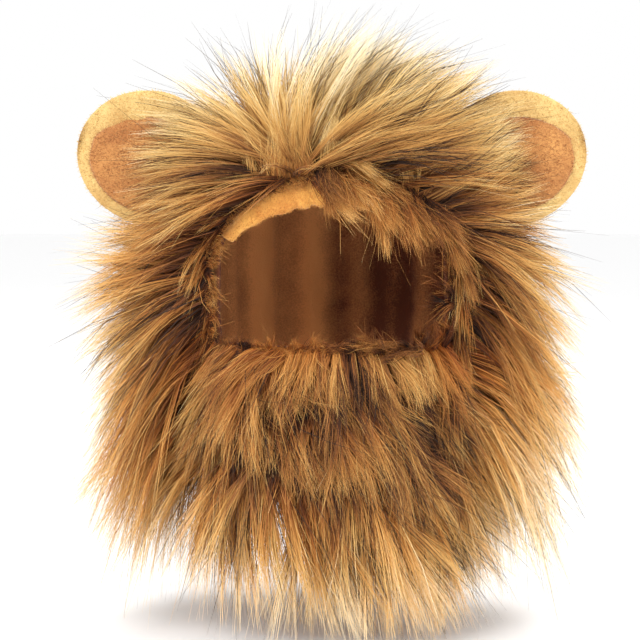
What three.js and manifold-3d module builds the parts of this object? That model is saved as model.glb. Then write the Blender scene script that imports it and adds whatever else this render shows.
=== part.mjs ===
// A lion-mane hood for a cat or a small dog: a lined long-pile fur bonnet with two plush ears,
// a rolled brow hem round the top of the face opening, and two chin flaps that lap under the chin
// and close with a hidden hook-and-loop patch.
// Millimetres, +Z up. The face looks along -Y. The origin is the seat: the inside of the lining at
// the top of the crown, where the head carries the hood.
import * as THREE from "three";
import { mergeVertices } from "three/addons/utils/BufferGeometryUtils.js";
import Module from "manifold-3d";

const wasm = await Module();
wasm.setup();

// Hood form, measured to the outside of the fur's woven backing from the middle of the face opening
const halfWidth = 60;
const frontDepth = 50;
const backDepth = 60;
const crownHeight = 62;
const neckTaper = 150; // how far below the middle the tapering sides would meet
const squareness = 2.3; // exponent of every section, 2 being an ellipse
const napeDrop = 66; // neck rim below the middle, at the back
const throatDrop = 86; // neck rim below the middle, at the front

// Cloth walls and the gap kept between sewn layers
const backingWall = 1.8;
const liningWall = 1.8;
const gap = 0.4;
const liningSlack = 0.6; // how loosely the lining lies inside the backing

// Face opening, an arch over a straight lower edge
const seamAngle = 58; // degrees from straight ahead to each side of the opening and each flap's seam
const archHeight = 37;
const archSquareness = 1.9;
const chinTop = 31; // lower edge of the opening below the middle

// Brow hem, a padded roll of the lining's plush along the arch
const hemHeight = 13;
const hemThickness = 6;
const hemEnd = 54; // degrees from straight ahead where the roll ends
const hemSet = 5.5; // how far the middle of the roll lies inside the arch
const hemGathers = 9;
const hemGatherDepth = 1.6;
const hemBlunt = 0.06; // share of the roll at each end that its rounding leaves off

// Chin flaps: the left one laps over the right one
const leftFlapReach = 36; // degrees past straight ahead, on the right
const rightFlapReach = 20; // degrees past straight ahead, on the left
const rightFlapDrop = 9; // how much lower the right flap hangs
const flapSeam = 1.2; // degrees of open seam between each flap and the hood
const closureWidth = 44;
const closureHeight = 26;
const closureThickness = 2;

// Ears
const earLength = 58;
const earBreadth = 56;
const earNeck = 38; // breadth where the ear is sewn on
const earThickness = 7;
const earCup = { neck: 10.4, tip: 3.2 }; // how far the long edges curl forward
const earPerch = 37; // degrees above level of the place where the ear is sewn on
const earTilt = 13; // degrees above level of the ear's own line
const earSweep = 6; // degrees that the ear leans back
const earSet = -4; // place of the ear in front of the middle of the hood
const earRoot = 10; // how far the ear runs on into the hood, where it is cut to fit
const patchThickness = 1.4;
const patchMargins = { top: 11, bottom: 4.5, tip: 5, neck: 9 }; // of the ear left bare round it

// Upright folds that the loose lining makes inside the back of the hood. azimuth is from straight
// ahead, positive to the right, and width is the half width of the fold; both are in degrees.
const liningFolds = [
  { azimuth: -172, width: 11, depth: 4.5 },
  { azimuth: 166, width: 9, depth: 3 },
  { azimuth: -146, width: 10, depth: 5 },
  { azimuth: 132, width: 12, depth: 4 },
  { azimuth: -112, width: 10, depth: 2.5 },
];

// The pile between the locks, a smooth bed that thins out towards the face edge and the neck rim
const bed = { depth: 13, fromFace: 34, fromRim: 34 }; // fromFace in degrees

// Rows of mane locks on the hood, from the face edge to the nape. reach is the share of the way
// from the face edge to the middle of the back, and length and width are shares of pileLength.
const pileLength = 58;
const maneRows = [
  { row: "faceEdge", reach: 0.03, locks: 18, length: 0.8, width: 0.48, lift: 54 },
  { row: "brow", reach: 0.19, locks: 17, length: 0.8, width: 0.54, lift: 46 },
  { row: "crown", reach: 0.38, locks: 13, length: 0.84, width: 0.64, lift: 40 },
  { row: "crownBack", reach: 0.6, locks: 10, length: 0.86, width: 0.7, lift: 34 },
  { row: "nape", reach: 0.84, locks: 6, length: 0.84, width: 0.7, lift: 28 },
];
const maneFloor = 0.85; // share of chinTop below the middle where those rows end

// Rows of mane locks round the neck below them, from one seam round the back to the other. rise is
// the share of the way up from the rim to chinTop, and front and back are lifts.
const neckRows = [
  { row: "jowl", rise: 0.8, locks: 11, length: 1.12, width: 0.62, front: 66, back: 32 },
  { row: "collar", rise: 0.4, locks: 11, length: 1.18, width: 0.62, front: 62, back: 28 },
  { row: "neckRim", rise: 0.04, locks: 12, length: 0.98, width: 0.6, front: 56, back: 22 },
];

// Rows of locks on the chin flaps. drop is the share of the way down the flap.
const beardRows = [
  { row: "chin", drop: 0.05, locks: 5, length: 0.6, width: 0.46, lift: 38 },
  { row: "throat", drop: 0.5, locks: 5, length: 0.78, width: 0.5, lift: 34 },
  { row: "hem", drop: 0.94, locks: 6, length: 0.76, width: 0.46, lift: 26 },
];
const beardFan = 1.25; // how far the beard is combed out to the sides

// How the mane is combed down, for each unit that it is combed back
const combFall = { crown: 0.1, cheek: 0.4, back: 1.1, low: 1.5 };

// How much the locks of a row differ: place, length and reach as shares, lift in degrees
const lockScatter = { place: 0.35, reach: 0.03, length: 0.16, lift: 12 };

// The bend of a lock, as shares of its length and lift; root is how deep it starts, in millimetres.
const lockBend = { root: 1, belly: 0.5, reach: 0.97, tipLift: 0.68, sag: 0.18 };

const rimAngle = { top: 40, side: 63 }; // degrees off straight ahead of the face edge's first row
const lockInset = 2.5; // millimetres, or degrees, from an open edge to the nearest lock's middle
const lockFlatness = 0.5; // thickness over width
const lockStations = [
  { along: 0, breadth: 0.85 },
  { along: 0.52, breadth: 0.9 },
];
const lockSides = 4;
const fuzz = 0.01; // detail finer than this is taken off a cut solid

const degree = Math.PI / 180;
const smooth = (t) => {
  const s = Math.min(1, Math.max(0, t));
  return s * s * (3 - 2 * s);
};
const mix = (a, b, t) => a + (b - a) * t;

// A repeatable scatter between -0.5 and 0.5
function scatter(index, channel) {
  const wave = Math.sin(index * 12.9898 + channel * 78.233) * 43758.5453;
  return wave - Math.floor(wave) - 0.5;
}

// How deep the lining folds in at an azimuth and a height
function foldDepth(azimuth, height) {
  const fade = smooth((crownHeight - height) / crownHeight);
  return liningFolds.reduce((sum, fold) => {
    const off = Math.abs(((azimuth / degree - fold.azimuth + 540) % 360) - 180) / fold.width;
    return sum + fold.depth * fade * (off < 1 ? Math.cos((off * Math.PI) / 2) ** 2 : 0);
  }, 0);
}

// The distance from the middle to the hood's skin along a unit direction; grow moves the skin out.
function skinDistance(direction, grow) {
  const across = Math.abs(direction.x) / (halfWidth + grow);
  const along = Math.abs(direction.y) / ((direction.y < 0 ? frontDepth : backDepth) + grow);
  const up = Math.abs(direction.z) / ((direction.z > 0 ? crownHeight : neckTaper) + grow);
  return (across ** squareness + along ** squareness + up ** squareness) ** (-1 / squareness);
}

// The same skin, as a point at an azimuth from straight ahead and a height
function skinPoint(azimuth, height, grow) {
  const reach = (height > 0 ? crownHeight : neckTaper) + grow;
  const waist = Math.max(0, 1 - (Math.abs(height) / reach) ** squareness) ** (1 / squareness);
  const level = new THREE.Vector3(Math.sin(azimuth), -Math.cos(azimuth), 0);
  const out = level.clone().multiplyScalar(skinDistance(level, grow) * waist);
  return out.setZ(height);
}

function skinNormal(point, grow) {
  const power = squareness - 1;
  const slope = (value, size) => (Math.sign(value) * (Math.abs(value) / size) ** power) / size;
  return new THREE.Vector3(
    slope(point.x, halfWidth + grow),
    slope(point.y, (point.y < 0 ? frontDepth : backDepth) + grow),
    slope(point.z, (point.z > 0 ? crownHeight : neckTaper) + grow),
  ).normalize();
}

// Height of the neck rim at a place from front to back
const rimHeight = (y) => -mix(throatDrop, napeDrop, (y + frontDepth) / (frontDepth + backDepth));

// Height of the face opening's arch at an azimuth; inset draws it in
function archTop(azimuth, inset = 0) {
  const side = seamAngle * degree - inset / halfWidth;
  const share = Math.min(1, Math.abs(azimuth) / side);
  return (archHeight - inset) * (1 - share ** archSquareness) ** (1 / archSquareness);
}

// Closed shapes

function geometryFrom(points, triangles) {
  const positions = points.flatMap((p) => [p.x, p.y, p.z]);
  const geometry = new THREE.BufferGeometry();
  geometry.setAttribute("position", new THREE.Float32BufferAttribute(positions, 3));
  geometry.setIndex(triangles);
  return geometry;
}

// A loft through closed rings; a ring of one point closes an end to a tip.
function loft(rings) {
  const starts = [];
  let total = 0;
  for (const ring of rings) {
    starts.push(total);
    total += ring.length;
  }
  const triangles = [];
  for (let i = 0; i + 1 < rings.length; i++) {
    const near = rings[i].length;
    const far = rings[i + 1].length;
    for (let k = 0; k < Math.max(near, far); k++) {
      const a = starts[i] + (k % near);
      const b = starts[i] + ((k + 1) % near);
      const c = starts[i + 1] + (k % far);
      const d = starts[i + 1] + ((k + 1) % far);
      if (near > 1) triangles.push(a, b, d);
      if (far > 1) triangles.push(a, d, c);
      else if (near > 1) continue;
    }
  }
  const last = rings.length - 1;
  for (let k = 1; k + 1 < rings[0].length; k++) {
    triangles.push(starts[0], starts[0] + k + 1, starts[0] + k);
  }
  for (let k = 1; k + 1 < rings[last].length; k++) {
    triangles.push(starts[last], starts[last] + k, starts[last] + k + 1);
  }
  return geometryFrom(rings.flat(), triangles);
}

// A wall between an inner and an outer face, each a grid of points in columns
function wall(outer, inner) {
  const columns = outer.length;
  const rows = outer[0].length;
  const at = (face, c, r) => (face * columns + c) * rows + r;
  const triangles = [];
  const quad = (a, b, c, d) => triangles.push(a, b, c, a, c, d);
  for (let c = 0; c + 1 < columns; c++) {
    for (let r = 0; r + 1 < rows; r++) {
      quad(at(0, c, r), at(0, c, r + 1), at(0, c + 1, r + 1), at(0, c + 1, r));
      quad(at(1, c, r), at(1, c + 1, r), at(1, c + 1, r + 1), at(1, c, r + 1));
    }
    quad(at(0, c, 0), at(0, c + 1, 0), at(1, c + 1, 0), at(1, c, 0));
    quad(at(0, c + 1, rows - 1), at(0, c, rows - 1), at(1, c, rows - 1), at(1, c + 1, rows - 1));
  }
  for (let r = 0; r + 1 < rows; r++) {
    quad(at(0, 0, r + 1), at(0, 0, r), at(1, 0, r), at(1, 0, r + 1));
    quad(at(0, columns - 1, r), at(0, columns - 1, r + 1), at(1, columns - 1, r + 1), at(1, columns - 1, r));
  }
  return geometryFrom([...outer.flat(), ...inner.flat()], triangles);
}

function solidOf(geometry) {
  const plain = geometry.clone();
  plain.deleteAttribute("normal");
  plain.deleteAttribute("uv");
  const merged = mergeVertices(plain);
  const solid = new wasm.Manifold(
    new wasm.Mesh({
      numProp: 3,
      vertProperties: merged.attributes.position.array,
      triVerts: new Uint32Array(merged.index.array),
    }),
  );
  if (solid.volume() < 0) throw new Error("a shape is inside out");
  return solid;
}

function geometryOf(solid) {
  const made = solid.getMesh();
  const geometry = new THREE.BufferGeometry();
  geometry.setAttribute("position", new THREE.BufferAttribute(made.vertProperties, 3));
  geometry.setIndex(new THREE.BufferAttribute(made.triVerts, 1));
  geometry.computeVertexNormals();
  return geometry;
}

// The largest body of a cut solid: a lock's tip that its neighbour cuts off is dropped.
function largestBody(solid) {
  const bodies = solid.simplify(fuzz).decompose();
  return bodies.reduce((best, body) => (body.volume() > best.volume() ? body : best));
}

// Degrees off straight ahead of the face edge, at a roll from the top
const faceRim = (roll) => mix(rimAngle.top, rimAngle.side, Math.sin(roll) ** 2);

// How deep the bed of the pile is at a point of the skin
function bedDepth(point) {
  const off = Math.acos(-point.y / point.length()) / degree;
  const fromFace = smooth((off - faceRim(Math.atan2(point.x, point.z))) / bed.fromFace);
  return bed.depth * fromFace * smooth((point.z - rimHeight(point.y)) / bed.fromRim);
}

// The whole closed form of the hood at an offset from the backing's outside; piled adds the bed.
function egg(grow, folded = false, piled = false) {
  const meridians = folded ? 32 : 24;
  const parallels = 14;
  const rings = [];
  for (let i = 0; i <= parallels; i++) {
    const polar = (i / parallels) * Math.PI;
    const ring = [];
    const count = i === 0 || i === parallels ? 1 : meridians;
    for (let k = 0; k < count; k++) {
      const azimuth = (k / meridians) * 2 * Math.PI;
      const direction = new THREE.Vector3(
        Math.sin(polar) * Math.sin(azimuth),
        -Math.sin(polar) * Math.cos(azimuth),
        Math.cos(polar),
      );
      const distance = skinDistance(direction, grow);
      const fold = folded ? foldDepth(azimuth, direction.z * distance) * Math.sin(polar) : 0;
      const point = direction.clone().multiplyScalar(distance - fold);
      ring.push(piled ? point.addScaledVector(direction, bedDepth(point)) : point);
    }
    rings.push(ring.reverse());
  }
  return solidOf(loft(rings));
}

// What the face opening and the chin flaps take out of the hood
function openingCutter(inset) {
  const columns = 16;
  const side = seamAngle * degree - inset / halfWidth;
  const reach = 3 * halfWidth;
  const floor = -neckTaper;
  const rings = [];
  for (let c = 0; c <= columns; c++) {
    const azimuth = mix(-side, side, c / columns);
    const top = Math.max(archTop(azimuth, inset), inset - chinTop);
    const at = (distance, height) =>
      new THREE.Vector3(Math.sin(azimuth) * distance, -Math.cos(azimuth) * distance, height);
    rings.push([at(gap, top), at(reach, top), at(reach, floor), at(gap, floor)]);
  }
  return solidOf(loft(rings));
}

// Everything below the neck rim
function rimCutter() {
  const reach = 3 * halfWidth;
  const ring = (x) =>
    [
      [-reach, rimHeight(-reach)],
      [reach, rimHeight(reach)],
      [reach, -3 * neckTaper],
      [-reach, -3 * neckTaper],
    ].map(([y, z]) => new THREE.Vector3(x, y, z));
  return solidOf(loft([ring(-reach), ring(reach)].map((r) => r.reverse())));
}

// A cloth shell of the hood between two closed forms, with the face and neck open
function hoodShell(inner, outer, inset = 0) {
  return outer.subtract(inner).subtract(openingCutter(inset)).subtract(rimCutter());
}

// Locks of long pile

// The way the pile is combed at a point: away from the face, then down the back and sides
function combing(point, normal) {
  const back = combFall.back * smooth(point.y / backDepth);
  const low = combFall.low * smooth(-point.z / throatDrop);
  const cheek = combFall.cheek * smooth(0.6 - point.z / backDepth);
  const away = new THREE.Vector3(0, 1, -combFall.crown - cheek - back - low);
  away.addScaledVector(normal, -away.dot(normal));
  return away.normalize();
}

// Centre line of a lock as three control points: out of the backing, over, and down
function lockLine(root, normal, comb, length, lift) {
  const rise = (angle) =>
    comb.clone().multiplyScalar(Math.cos(angle)).addScaledVector(normal, Math.sin(angle));
  const start = root.clone().addScaledVector(normal, -lockBend.root);
  const belly = root.clone().addScaledVector(rise(lift * degree), lockBend.belly * length);
  const tipRise = rise(lockBend.tipLift * lift * degree);
  const tip = root.clone().addScaledVector(tipRise, lockBend.reach * length);
  tip.z -= lockBend.sag * length * smooth(0.5 - root.z / crownHeight);
  return new THREE.QuadraticBezierCurve3(start, belly, tip);
}

// A lock about its centre line, ending in a tip; swell fattens it all round, the tip too.
function lockSolid(line, normal, width, swell) {
  const section = (along, breadth, forwards) => {
    const forward = line.getTangent(along);
    const centre = line.getPoint(along).addScaledVector(forward, forwards);
    const side = new THREE.Vector3().crossVectors(forward, normal).normalize();
    const up = new THREE.Vector3().crossVectors(side, forward);
    const across = (breadth * width) / 2;
    return Array.from({ length: lockSides }, (_, k) => {
      const turn = (k / lockSides) * 2 * Math.PI;
      return centre
        .clone()
        .addScaledVector(side, Math.cos(turn) * (across + swell))
        .addScaledVector(up, Math.sin(turn) * (across * lockFlatness + swell));
    });
  };
  const rings = lockStations.map(({ along, breadth }) => section(along, breadth, 0));
  const end = swell > 0 ? section(1, 0, swell) : [line.getPoint(1)];
  return solidOf(loft([...rings, end].map((ring) => ring.reverse())));
}

// One lock of the hood, rooted at a point of its skin
function hoodLock(root, index, row, lift, swell) {
  const normal = skinNormal(root, 0);
  const length = pileLength * row.length * (1 + lockScatter.length * scatter(index, 3));
  const raised = lift + lockScatter.lift * scatter(index, 4);
  const line = lockLine(root, normal, combing(root, normal), length, raised);
  return lockSolid(line, normal, pileLength * row.width, swell);
}

// The locks of the hood, each a solid; swell fattens them for cutting a neighbour.
function maneLocks(swell) {
  const locks = [];
  maneRows.forEach((row, r) => {
    for (let k = 0; k < row.locks; k++) {
      const index = r * 40 + k;
      const place = k + 0.5 * (r % 2) + lockScatter.place * scatter(index, 1);
      const roll = (place / row.locks) * 2 * Math.PI;
      const off = mix(faceRim(roll) * degree, Math.PI, row.reach + lockScatter.reach * scatter(index, 2));
      const direction = new THREE.Vector3(
        Math.sin(off) * Math.sin(roll),
        -Math.cos(off),
        Math.sin(off) * Math.cos(roll),
      );
      const root = direction.multiplyScalar(skinDistance(direction, 0));
      const azimuth = Math.atan2(root.x, -root.y);
      const inOpening =
        Math.abs(azimuth) < (seamAngle + lockInset) * degree &&
        root.z < archTop(azimuth) + lockInset;
      if (inOpening || root.z < -maneFloor * chinTop) continue;
      locks.push(hoodLock(root, index, row, row.lift, swell));
    }
  });
  neckRows.forEach((row, r) => {
    for (let k = 0; k < row.locks; k++) {
      const index = 240 + r * 40 + k;
      const place = k + 0.25 + 0.5 * (r % 2) + lockScatter.place * scatter(index, 1);
      const share = place / row.locks;
      const azimuth = mix(seamAngle + lockInset, 360 - lockInset - seamAngle, share) * degree;
      const rim = rimHeight(skinPoint(azimuth, -chinTop, 0).y);
      const root = skinPoint(azimuth, mix(rim, -chinTop, row.rise), 0);
      const lift = mix(row.front, row.back, smooth((root.y + frontDepth / 2) / backDepth));
      locks.push(hoodLock(root, index, row, lift, swell));
    }
  });
  return locks;
}

const liningOut = -backingWall - gap - liningSlack;
const liningIn = liningOut - liningWall;

// The hood's fur before its neighbours are cut out of it
function maneSolid(swell) {
  const backing = hoodShell(egg(-backingWall - swell), egg(swell, false, true), swell);
  const overFlaps = egg(gap - swell).intersect(openingCutter(swell - gap));
  const locks = wasm.Manifold.union(maneLocks(swell)).subtract(overFlaps);
  return backing.add(locks.subtract(egg(-backingWall / 2 - swell)));
}

// Chin flaps

// How far the left flap stands off where it laps over the right flap and the closure
const lapLift = closureThickness + 2 * gap - liningIn;
const leftFlap = {
  from: -seamAngle + flapSeam,
  to: leftFlapReach,
  top: -chinTop,
  drop: 0,
  stand: (azimuth) =>
    lapLift * smooth((azimuth / degree + seamAngle) / (seamAngle - rightFlapReach - 6)),
  clothed: () => true,
};
const rightFlap = {
  from: -rightFlapReach,
  to: seamAngle - flapSeam,
  top: -chinTop - 3,
  drop: rightFlapDrop,
  stand: () => 0,
  clothed: (azimuth, share) => azimuth > (leftFlapReach - 2) * degree || share > 0.9,
};

// A point of a flap: share is the way down from its upper edge
function flapPoint(flap, azimuth, share, offset) {
  const front = skinPoint(azimuth, flap.top, 0).y;
  const bottom = rimHeight(front) - flap.drop;
  return skinPoint(azimuth, mix(flap.top, bottom, share), flap.stand(azimuth) + offset);
}

// A curved sheet of a flap between two offsets; margin widens it in degrees and in shares.
function flapWall(flap, inner, outer, margin = { side: 0, above: 0, below: 0 }) {
  const columns = 10;
  const rows = 4;
  const grid = (offset) =>
    Array.from({ length: columns + 1 }, (_, c) => {
      const azimuth = mix(flap.from - margin.side, flap.to + margin.side, c / columns) * degree;
      return Array.from({ length: rows + 1 }, (_, r) =>
        flapPoint(flap, azimuth, mix(-margin.above, 1 + margin.below, r / rows), offset),
      );
    });
  return solidOf(wall(grid(outer), grid(inner)));
}

// The space behind a flap, and as far beyond its edges as its locks reach, which they stay out of
const behindFlap = (flap) =>
  flapWall(flap, -halfWidth / 2, -backingWall / 2, { side: 14, above: 0.15, below: 0.8 });

function flapLocks(flap, swell) {
  const locks = [];
  beardRows.forEach((row, r) => {
    for (let k = 0; k < row.locks; k++) {
      const index = 400 + r * 20 + k + (flap === leftFlap ? 0 : 200);
      const share = (k + 0.5 + lockScatter.place * scatter(index, 1)) / row.locks;
      const azimuth = mix(flap.from, flap.to, share) * degree;
      if (!flap.clothed(azimuth, row.drop)) continue;
      const root = flapPoint(flap, azimuth, row.drop, 0);
      const normal = skinNormal(root, flap.stand(azimuth));
      const comb = new THREE.Vector3(beardFan * Math.sin(azimuth), 0, -1);
      comb.addScaledVector(normal, -comb.dot(normal)).normalize();
      const length = pileLength * row.length * (1 + lockScatter.length * scatter(index, 3));
      const lift = row.lift + lockScatter.lift * scatter(index, 4);
      const line = lockLine(root, normal, comb, length, lift);
      locks.push(lockSolid(line, normal, pileLength * row.width, swell));
    }
  });
  return wasm.Manifold.union(locks).subtract(behindFlap(flap));
}

const flapEdge = { side: gap, above: 0.01, below: 0.01 };
const flapFur = (flap, swell) =>
  flapWall(flap, -backingWall - swell, swell, swell > 0 ? flapEdge : undefined).add(
    flapLocks(flap, swell),
  );

// Hidden hook-and-loop patch between the flaps, over the middle of the lap
function closurePatch(swell) {
  const middle = ((leftFlapReach - rightFlapReach) / 2) * degree;
  const half = closureWidth / 2 / frontDepth;
  const columns = 6;
  const rows = 2;
  const centre = -mix(chinTop, throatDrop, 0.5);
  const grid = (offset) =>
    Array.from({ length: columns + 1 }, (_, c) => {
      const azimuth = middle + (half + swell / frontDepth) * mix(-1, 1, c / columns);
      return Array.from({ length: rows + 1 }, (_, r) =>
        skinPoint(azimuth, centre + (closureHeight + 2 * swell) * (0.5 - r / rows), offset),
      );
    });
  return solidOf(wall(grid(gap + closureThickness + swell), grid(gap - swell)));
}

// Brow hem
function hemRoll(swell) {
  const steps = 27;
  const sides = 6;
  const rings = [];
  for (let i = 0; i <= steps; i++) {
    const azimuth = mix(-hemEnd, hemEnd, i / steps) * degree;
    const slope = archTop(azimuth + 0.02) - archTop(azimuth - 0.02);
    const lean = Math.atan2(slope, 0.04 * frontDepth);
    const gather = 1 + (hemGatherDepth / hemHeight) * Math.cos((i / steps) * 2 * Math.PI * hemGathers);
    const taper = Math.sqrt(Math.sin(mix(hemBlunt, 1 - hemBlunt, i / steps) * Math.PI));
    const ring = [];
    for (let k = 0; k < sides; k++) {
      const turn = (k / sides) * 2 * Math.PI;
      const across = Math.cos(turn) * ((hemHeight / 2) * taper * gather + swell);
      const depth = Math.sin(turn) * ((hemThickness / 2) * taper + swell);
      const inward = hemSet * taper;
      const height = archTop(azimuth) - (inward - across) * Math.cos(lean);
      const shift = ((inward - across) * Math.sin(lean)) / frontDepth;
      ring.push(skinPoint(azimuth + shift, height, liningOut - gap / 2 + depth));
    }
    rings.push(ring);
  }
  return solidOf(loft(rings));
}

// Ears

// Half the ear's breadth at a share of its length
function earHalfBreadth(share) {
  const widest = 0.52;
  if (share > widest) {
    const out = (share - widest) / (1 - widest);
    return (earBreadth / 2) * Math.sqrt(Math.max(0, 1 - out ** 2));
  }
  return mix(earNeck, earBreadth, smooth(share / widest)) / 2;
}

// The ear's own frame: along its length, across it towards the top, and out of its front
function earFrame(side) {
  const level = earPerch * degree;
  const direction = new THREE.Vector3(Math.cos(level), 0, Math.sin(level));
  const base = direction.multiplyScalar(skinDistance(direction, 0)).setY(earSet);
  const along = new THREE.Vector3(
    Math.cos(earTilt * degree) * Math.cos(earSweep * degree),
    Math.sin(earSweep * degree),
    Math.sin(earTilt * degree) * Math.cos(earSweep * degree),
  );
  const across = new THREE.Vector3(-Math.sin(earTilt * degree), 0, Math.cos(earTilt * degree));
  const front = new THREE.Vector3().crossVectors(along, across).normalize();
  if (front.y > 0) front.negate();
  for (const v of [base, along, across, front]) v.x *= side;
  return { base, along, across, front };
}

// A point of the ear: share of its length, share of its half breadth, height off the cupped middle
function earPoint(frame, share, breadthShare, height, grow = 0) {
  const half = earHalfBreadth(share);
  const across = (half + grow) * breadthShare;
  const cup = mix(earCup.neck, earCup.tip, share) * (across / Math.max(half, gap)) ** 2;
  return frame.base
    .clone()
    .addScaledVector(frame.along, mix(-earRoot, earLength + grow, share))
    .addScaledVector(frame.across, across)
    .addScaledVector(frame.front, cup + height);
}

const earHalfThickness = (share) => (earThickness / 2) * Math.sqrt(1 - share ** 4);

function earSolid(side, grow) {
  const frame = earFrame(side);
  const stations = 8;
  const sides = 12;
  const rings = [];
  for (let i = 0; i <= stations; i++) {
    const share = Math.sin((i / stations) * 0.5 * Math.PI);
    if (i === stations) {
      rings.push([earPoint(frame, 1, 0, 0, grow)]);
      break;
    }
    const ring = [];
    for (let k = 0; k < sides; k++) {
      const turn = (k / sides) * 2 * Math.PI;
      const thick = earHalfThickness(share) + grow;
      ring.push(earPoint(frame, share, Math.cos(turn), Math.sin(turn) * thick, grow));
    }
    rings.push(side > 0 ? ring : ring.reverse());
  }
  return solidOf(loft(rings)).subtract(egg(grow > 0 ? 0 : gap));
}

// The inner patch of an ear: a felt sheet laid in the cup
function earPatch(side, swell = 0) {
  const frame = earFrame(side);
  const columns = 5;
  const rows = 4;
  const first = (patchMargins.neck - swell) / earLength;
  const last = 1 - (patchMargins.tip - swell) / earLength;
  const grid = (height) =>
    Array.from({ length: columns + 1 }, (_, c) => {
      const share = mix(first, last, Math.sin((c / columns) * 0.5 * Math.PI));
      const half = earHalfBreadth(share);
      const round = Math.sqrt(1 - (c / (columns + 0.6)) ** 4);
      const low = -Math.max(0, half - patchMargins.bottom) * round - swell;
      const high = Math.max(1, half - patchMargins.top) * round + swell;
      return Array.from({ length: rows + 1 }, (_, r) => {
        const breadthShare = mix(low, high, r / rows) / half;
        const front = earHalfThickness(share) * Math.sqrt(1 - breadthShare ** 2);
        return earPoint(frame, share, breadthShare, front + height);
      });
    });
  const upper = grid(gap + patchThickness + swell);
  const lower = grid(-gap - swell);
  const sheet = solidOf(side > 0 ? wall(lower, upper) : wall(upper, lower));
  return swell > 0 ? sheet : largestBody(sheet.subtract(earSolid(side, gap)));
}

// Neighbours cut each other here, outermost fur last

const hoodWalls = hoodShell(egg(liningIn - gap), egg(gap), gap);
const browHem = largestBody(hemRoll(0).subtract(hoodWalls));

const hoodLining = hoodShell(egg(liningIn, true), egg(liningOut, true));

const maneFur = largestBody(
  [
    hemRoll(gap),
    earSolid(1, gap),
    earSolid(-1, gap),
    earPatch(1, gap),
    earPatch(-1, gap),
    flapWall(leftFlap, liningIn - gap, gap, flapEdge),
    flapWall(rightFlap, liningIn - gap, gap, flapEdge),
  ].reduce((fur, neighbour) => fur.subtract(neighbour), maneSolid(0)),
);

const maneSwollen = maneSolid(gap);
const flapBacking = (flap) => flapWall(flap, -backingWall, 0);
const leftFlapFur = largestBody(
  flapBacking(leftFlap).add(flapLocks(leftFlap, 0).subtract(maneSwollen)),
);
const rightFlapFur = largestBody(
  flapBacking(rightFlap).add(
    flapLocks(rightFlap, 0)
      .subtract(maneSwollen)
      .subtract(flapFur(leftFlap, gap))
      .subtract(flapWall(leftFlap, liningIn - gap, 0, flapEdge))
      .subtract(closurePatch(gap)),
  ),
);

const material = (color, roughness) =>
  new THREE.MeshStandardMaterial({ color, roughness, metalness: 0 });
const finishes = {
  mane: material(0xb9813a, 0.85),
  lining: material(0x9a6224, 0.9),
  hem: material(0xd98f35, 0.9),
  ear: material(0xe2b25c, 0.9),
  earPatch: material(0xb0682c, 0.95),
  closure: material(0x6b4a26, 0.8),
};

const hood = new THREE.Group();
hood.position.z = -(crownHeight + liningIn);

function addPiece(name, solid, finish) {
  const mesh = new THREE.Mesh(geometryOf(solid), finish);
  mesh.name = name;
  hood.add(mesh);
}

addPiece("hood_lining", hoodLining, finishes.lining);
addPiece("mane_fur", maneFur, finishes.mane);
addPiece("brow_hem", browHem, finishes.hem);
addPiece("left_flap_lining", flapWall(leftFlap, liningIn, liningOut), finishes.lining);
addPiece("right_flap_lining", flapWall(rightFlap, liningIn, liningOut), finishes.lining);
addPiece("left_flap_fur", leftFlapFur, finishes.mane);
addPiece("right_flap_fur", rightFlapFur, finishes.mane);
addPiece("closure_patch", closurePatch(0), finishes.closure);
addPiece("left_ear", largestBody(earSolid(-1, 0)), finishes.ear);
addPiece("right_ear", largestBody(earSolid(1, 0)), finishes.ear);
addPiece("left_ear_patch", earPatch(-1), finishes.earPatch);
addPiece("right_ear_patch", earPatch(1), finishes.earPatch);

const part = new THREE.Group();
part.add(hood);

export default part;
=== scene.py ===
# Lion-mane hood for a cat or small dog: long fur on a lined hood, with plush ears and lapped chin flaps
import math

import bmesh
import bpy
import numpy as np
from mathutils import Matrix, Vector


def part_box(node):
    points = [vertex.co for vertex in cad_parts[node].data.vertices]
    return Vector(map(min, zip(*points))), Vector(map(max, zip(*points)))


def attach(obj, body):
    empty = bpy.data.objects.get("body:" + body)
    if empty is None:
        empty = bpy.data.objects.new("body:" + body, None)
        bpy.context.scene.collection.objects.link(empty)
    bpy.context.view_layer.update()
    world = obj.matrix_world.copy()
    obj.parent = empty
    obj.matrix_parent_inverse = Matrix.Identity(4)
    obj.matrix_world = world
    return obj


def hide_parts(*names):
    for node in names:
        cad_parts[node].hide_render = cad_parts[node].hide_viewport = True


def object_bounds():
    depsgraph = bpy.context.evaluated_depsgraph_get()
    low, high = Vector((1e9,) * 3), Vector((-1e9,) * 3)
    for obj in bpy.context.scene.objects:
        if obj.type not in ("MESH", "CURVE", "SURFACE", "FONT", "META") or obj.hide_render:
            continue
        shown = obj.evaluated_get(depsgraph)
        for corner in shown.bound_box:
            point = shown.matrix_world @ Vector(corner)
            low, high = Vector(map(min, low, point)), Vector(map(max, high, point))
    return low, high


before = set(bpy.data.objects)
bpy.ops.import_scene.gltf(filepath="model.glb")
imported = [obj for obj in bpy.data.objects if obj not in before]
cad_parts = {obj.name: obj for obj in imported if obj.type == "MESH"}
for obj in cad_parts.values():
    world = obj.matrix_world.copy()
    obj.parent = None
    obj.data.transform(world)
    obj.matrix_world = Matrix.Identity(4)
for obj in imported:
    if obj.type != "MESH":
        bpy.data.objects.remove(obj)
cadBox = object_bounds()
print("stage: frame loaded")

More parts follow.
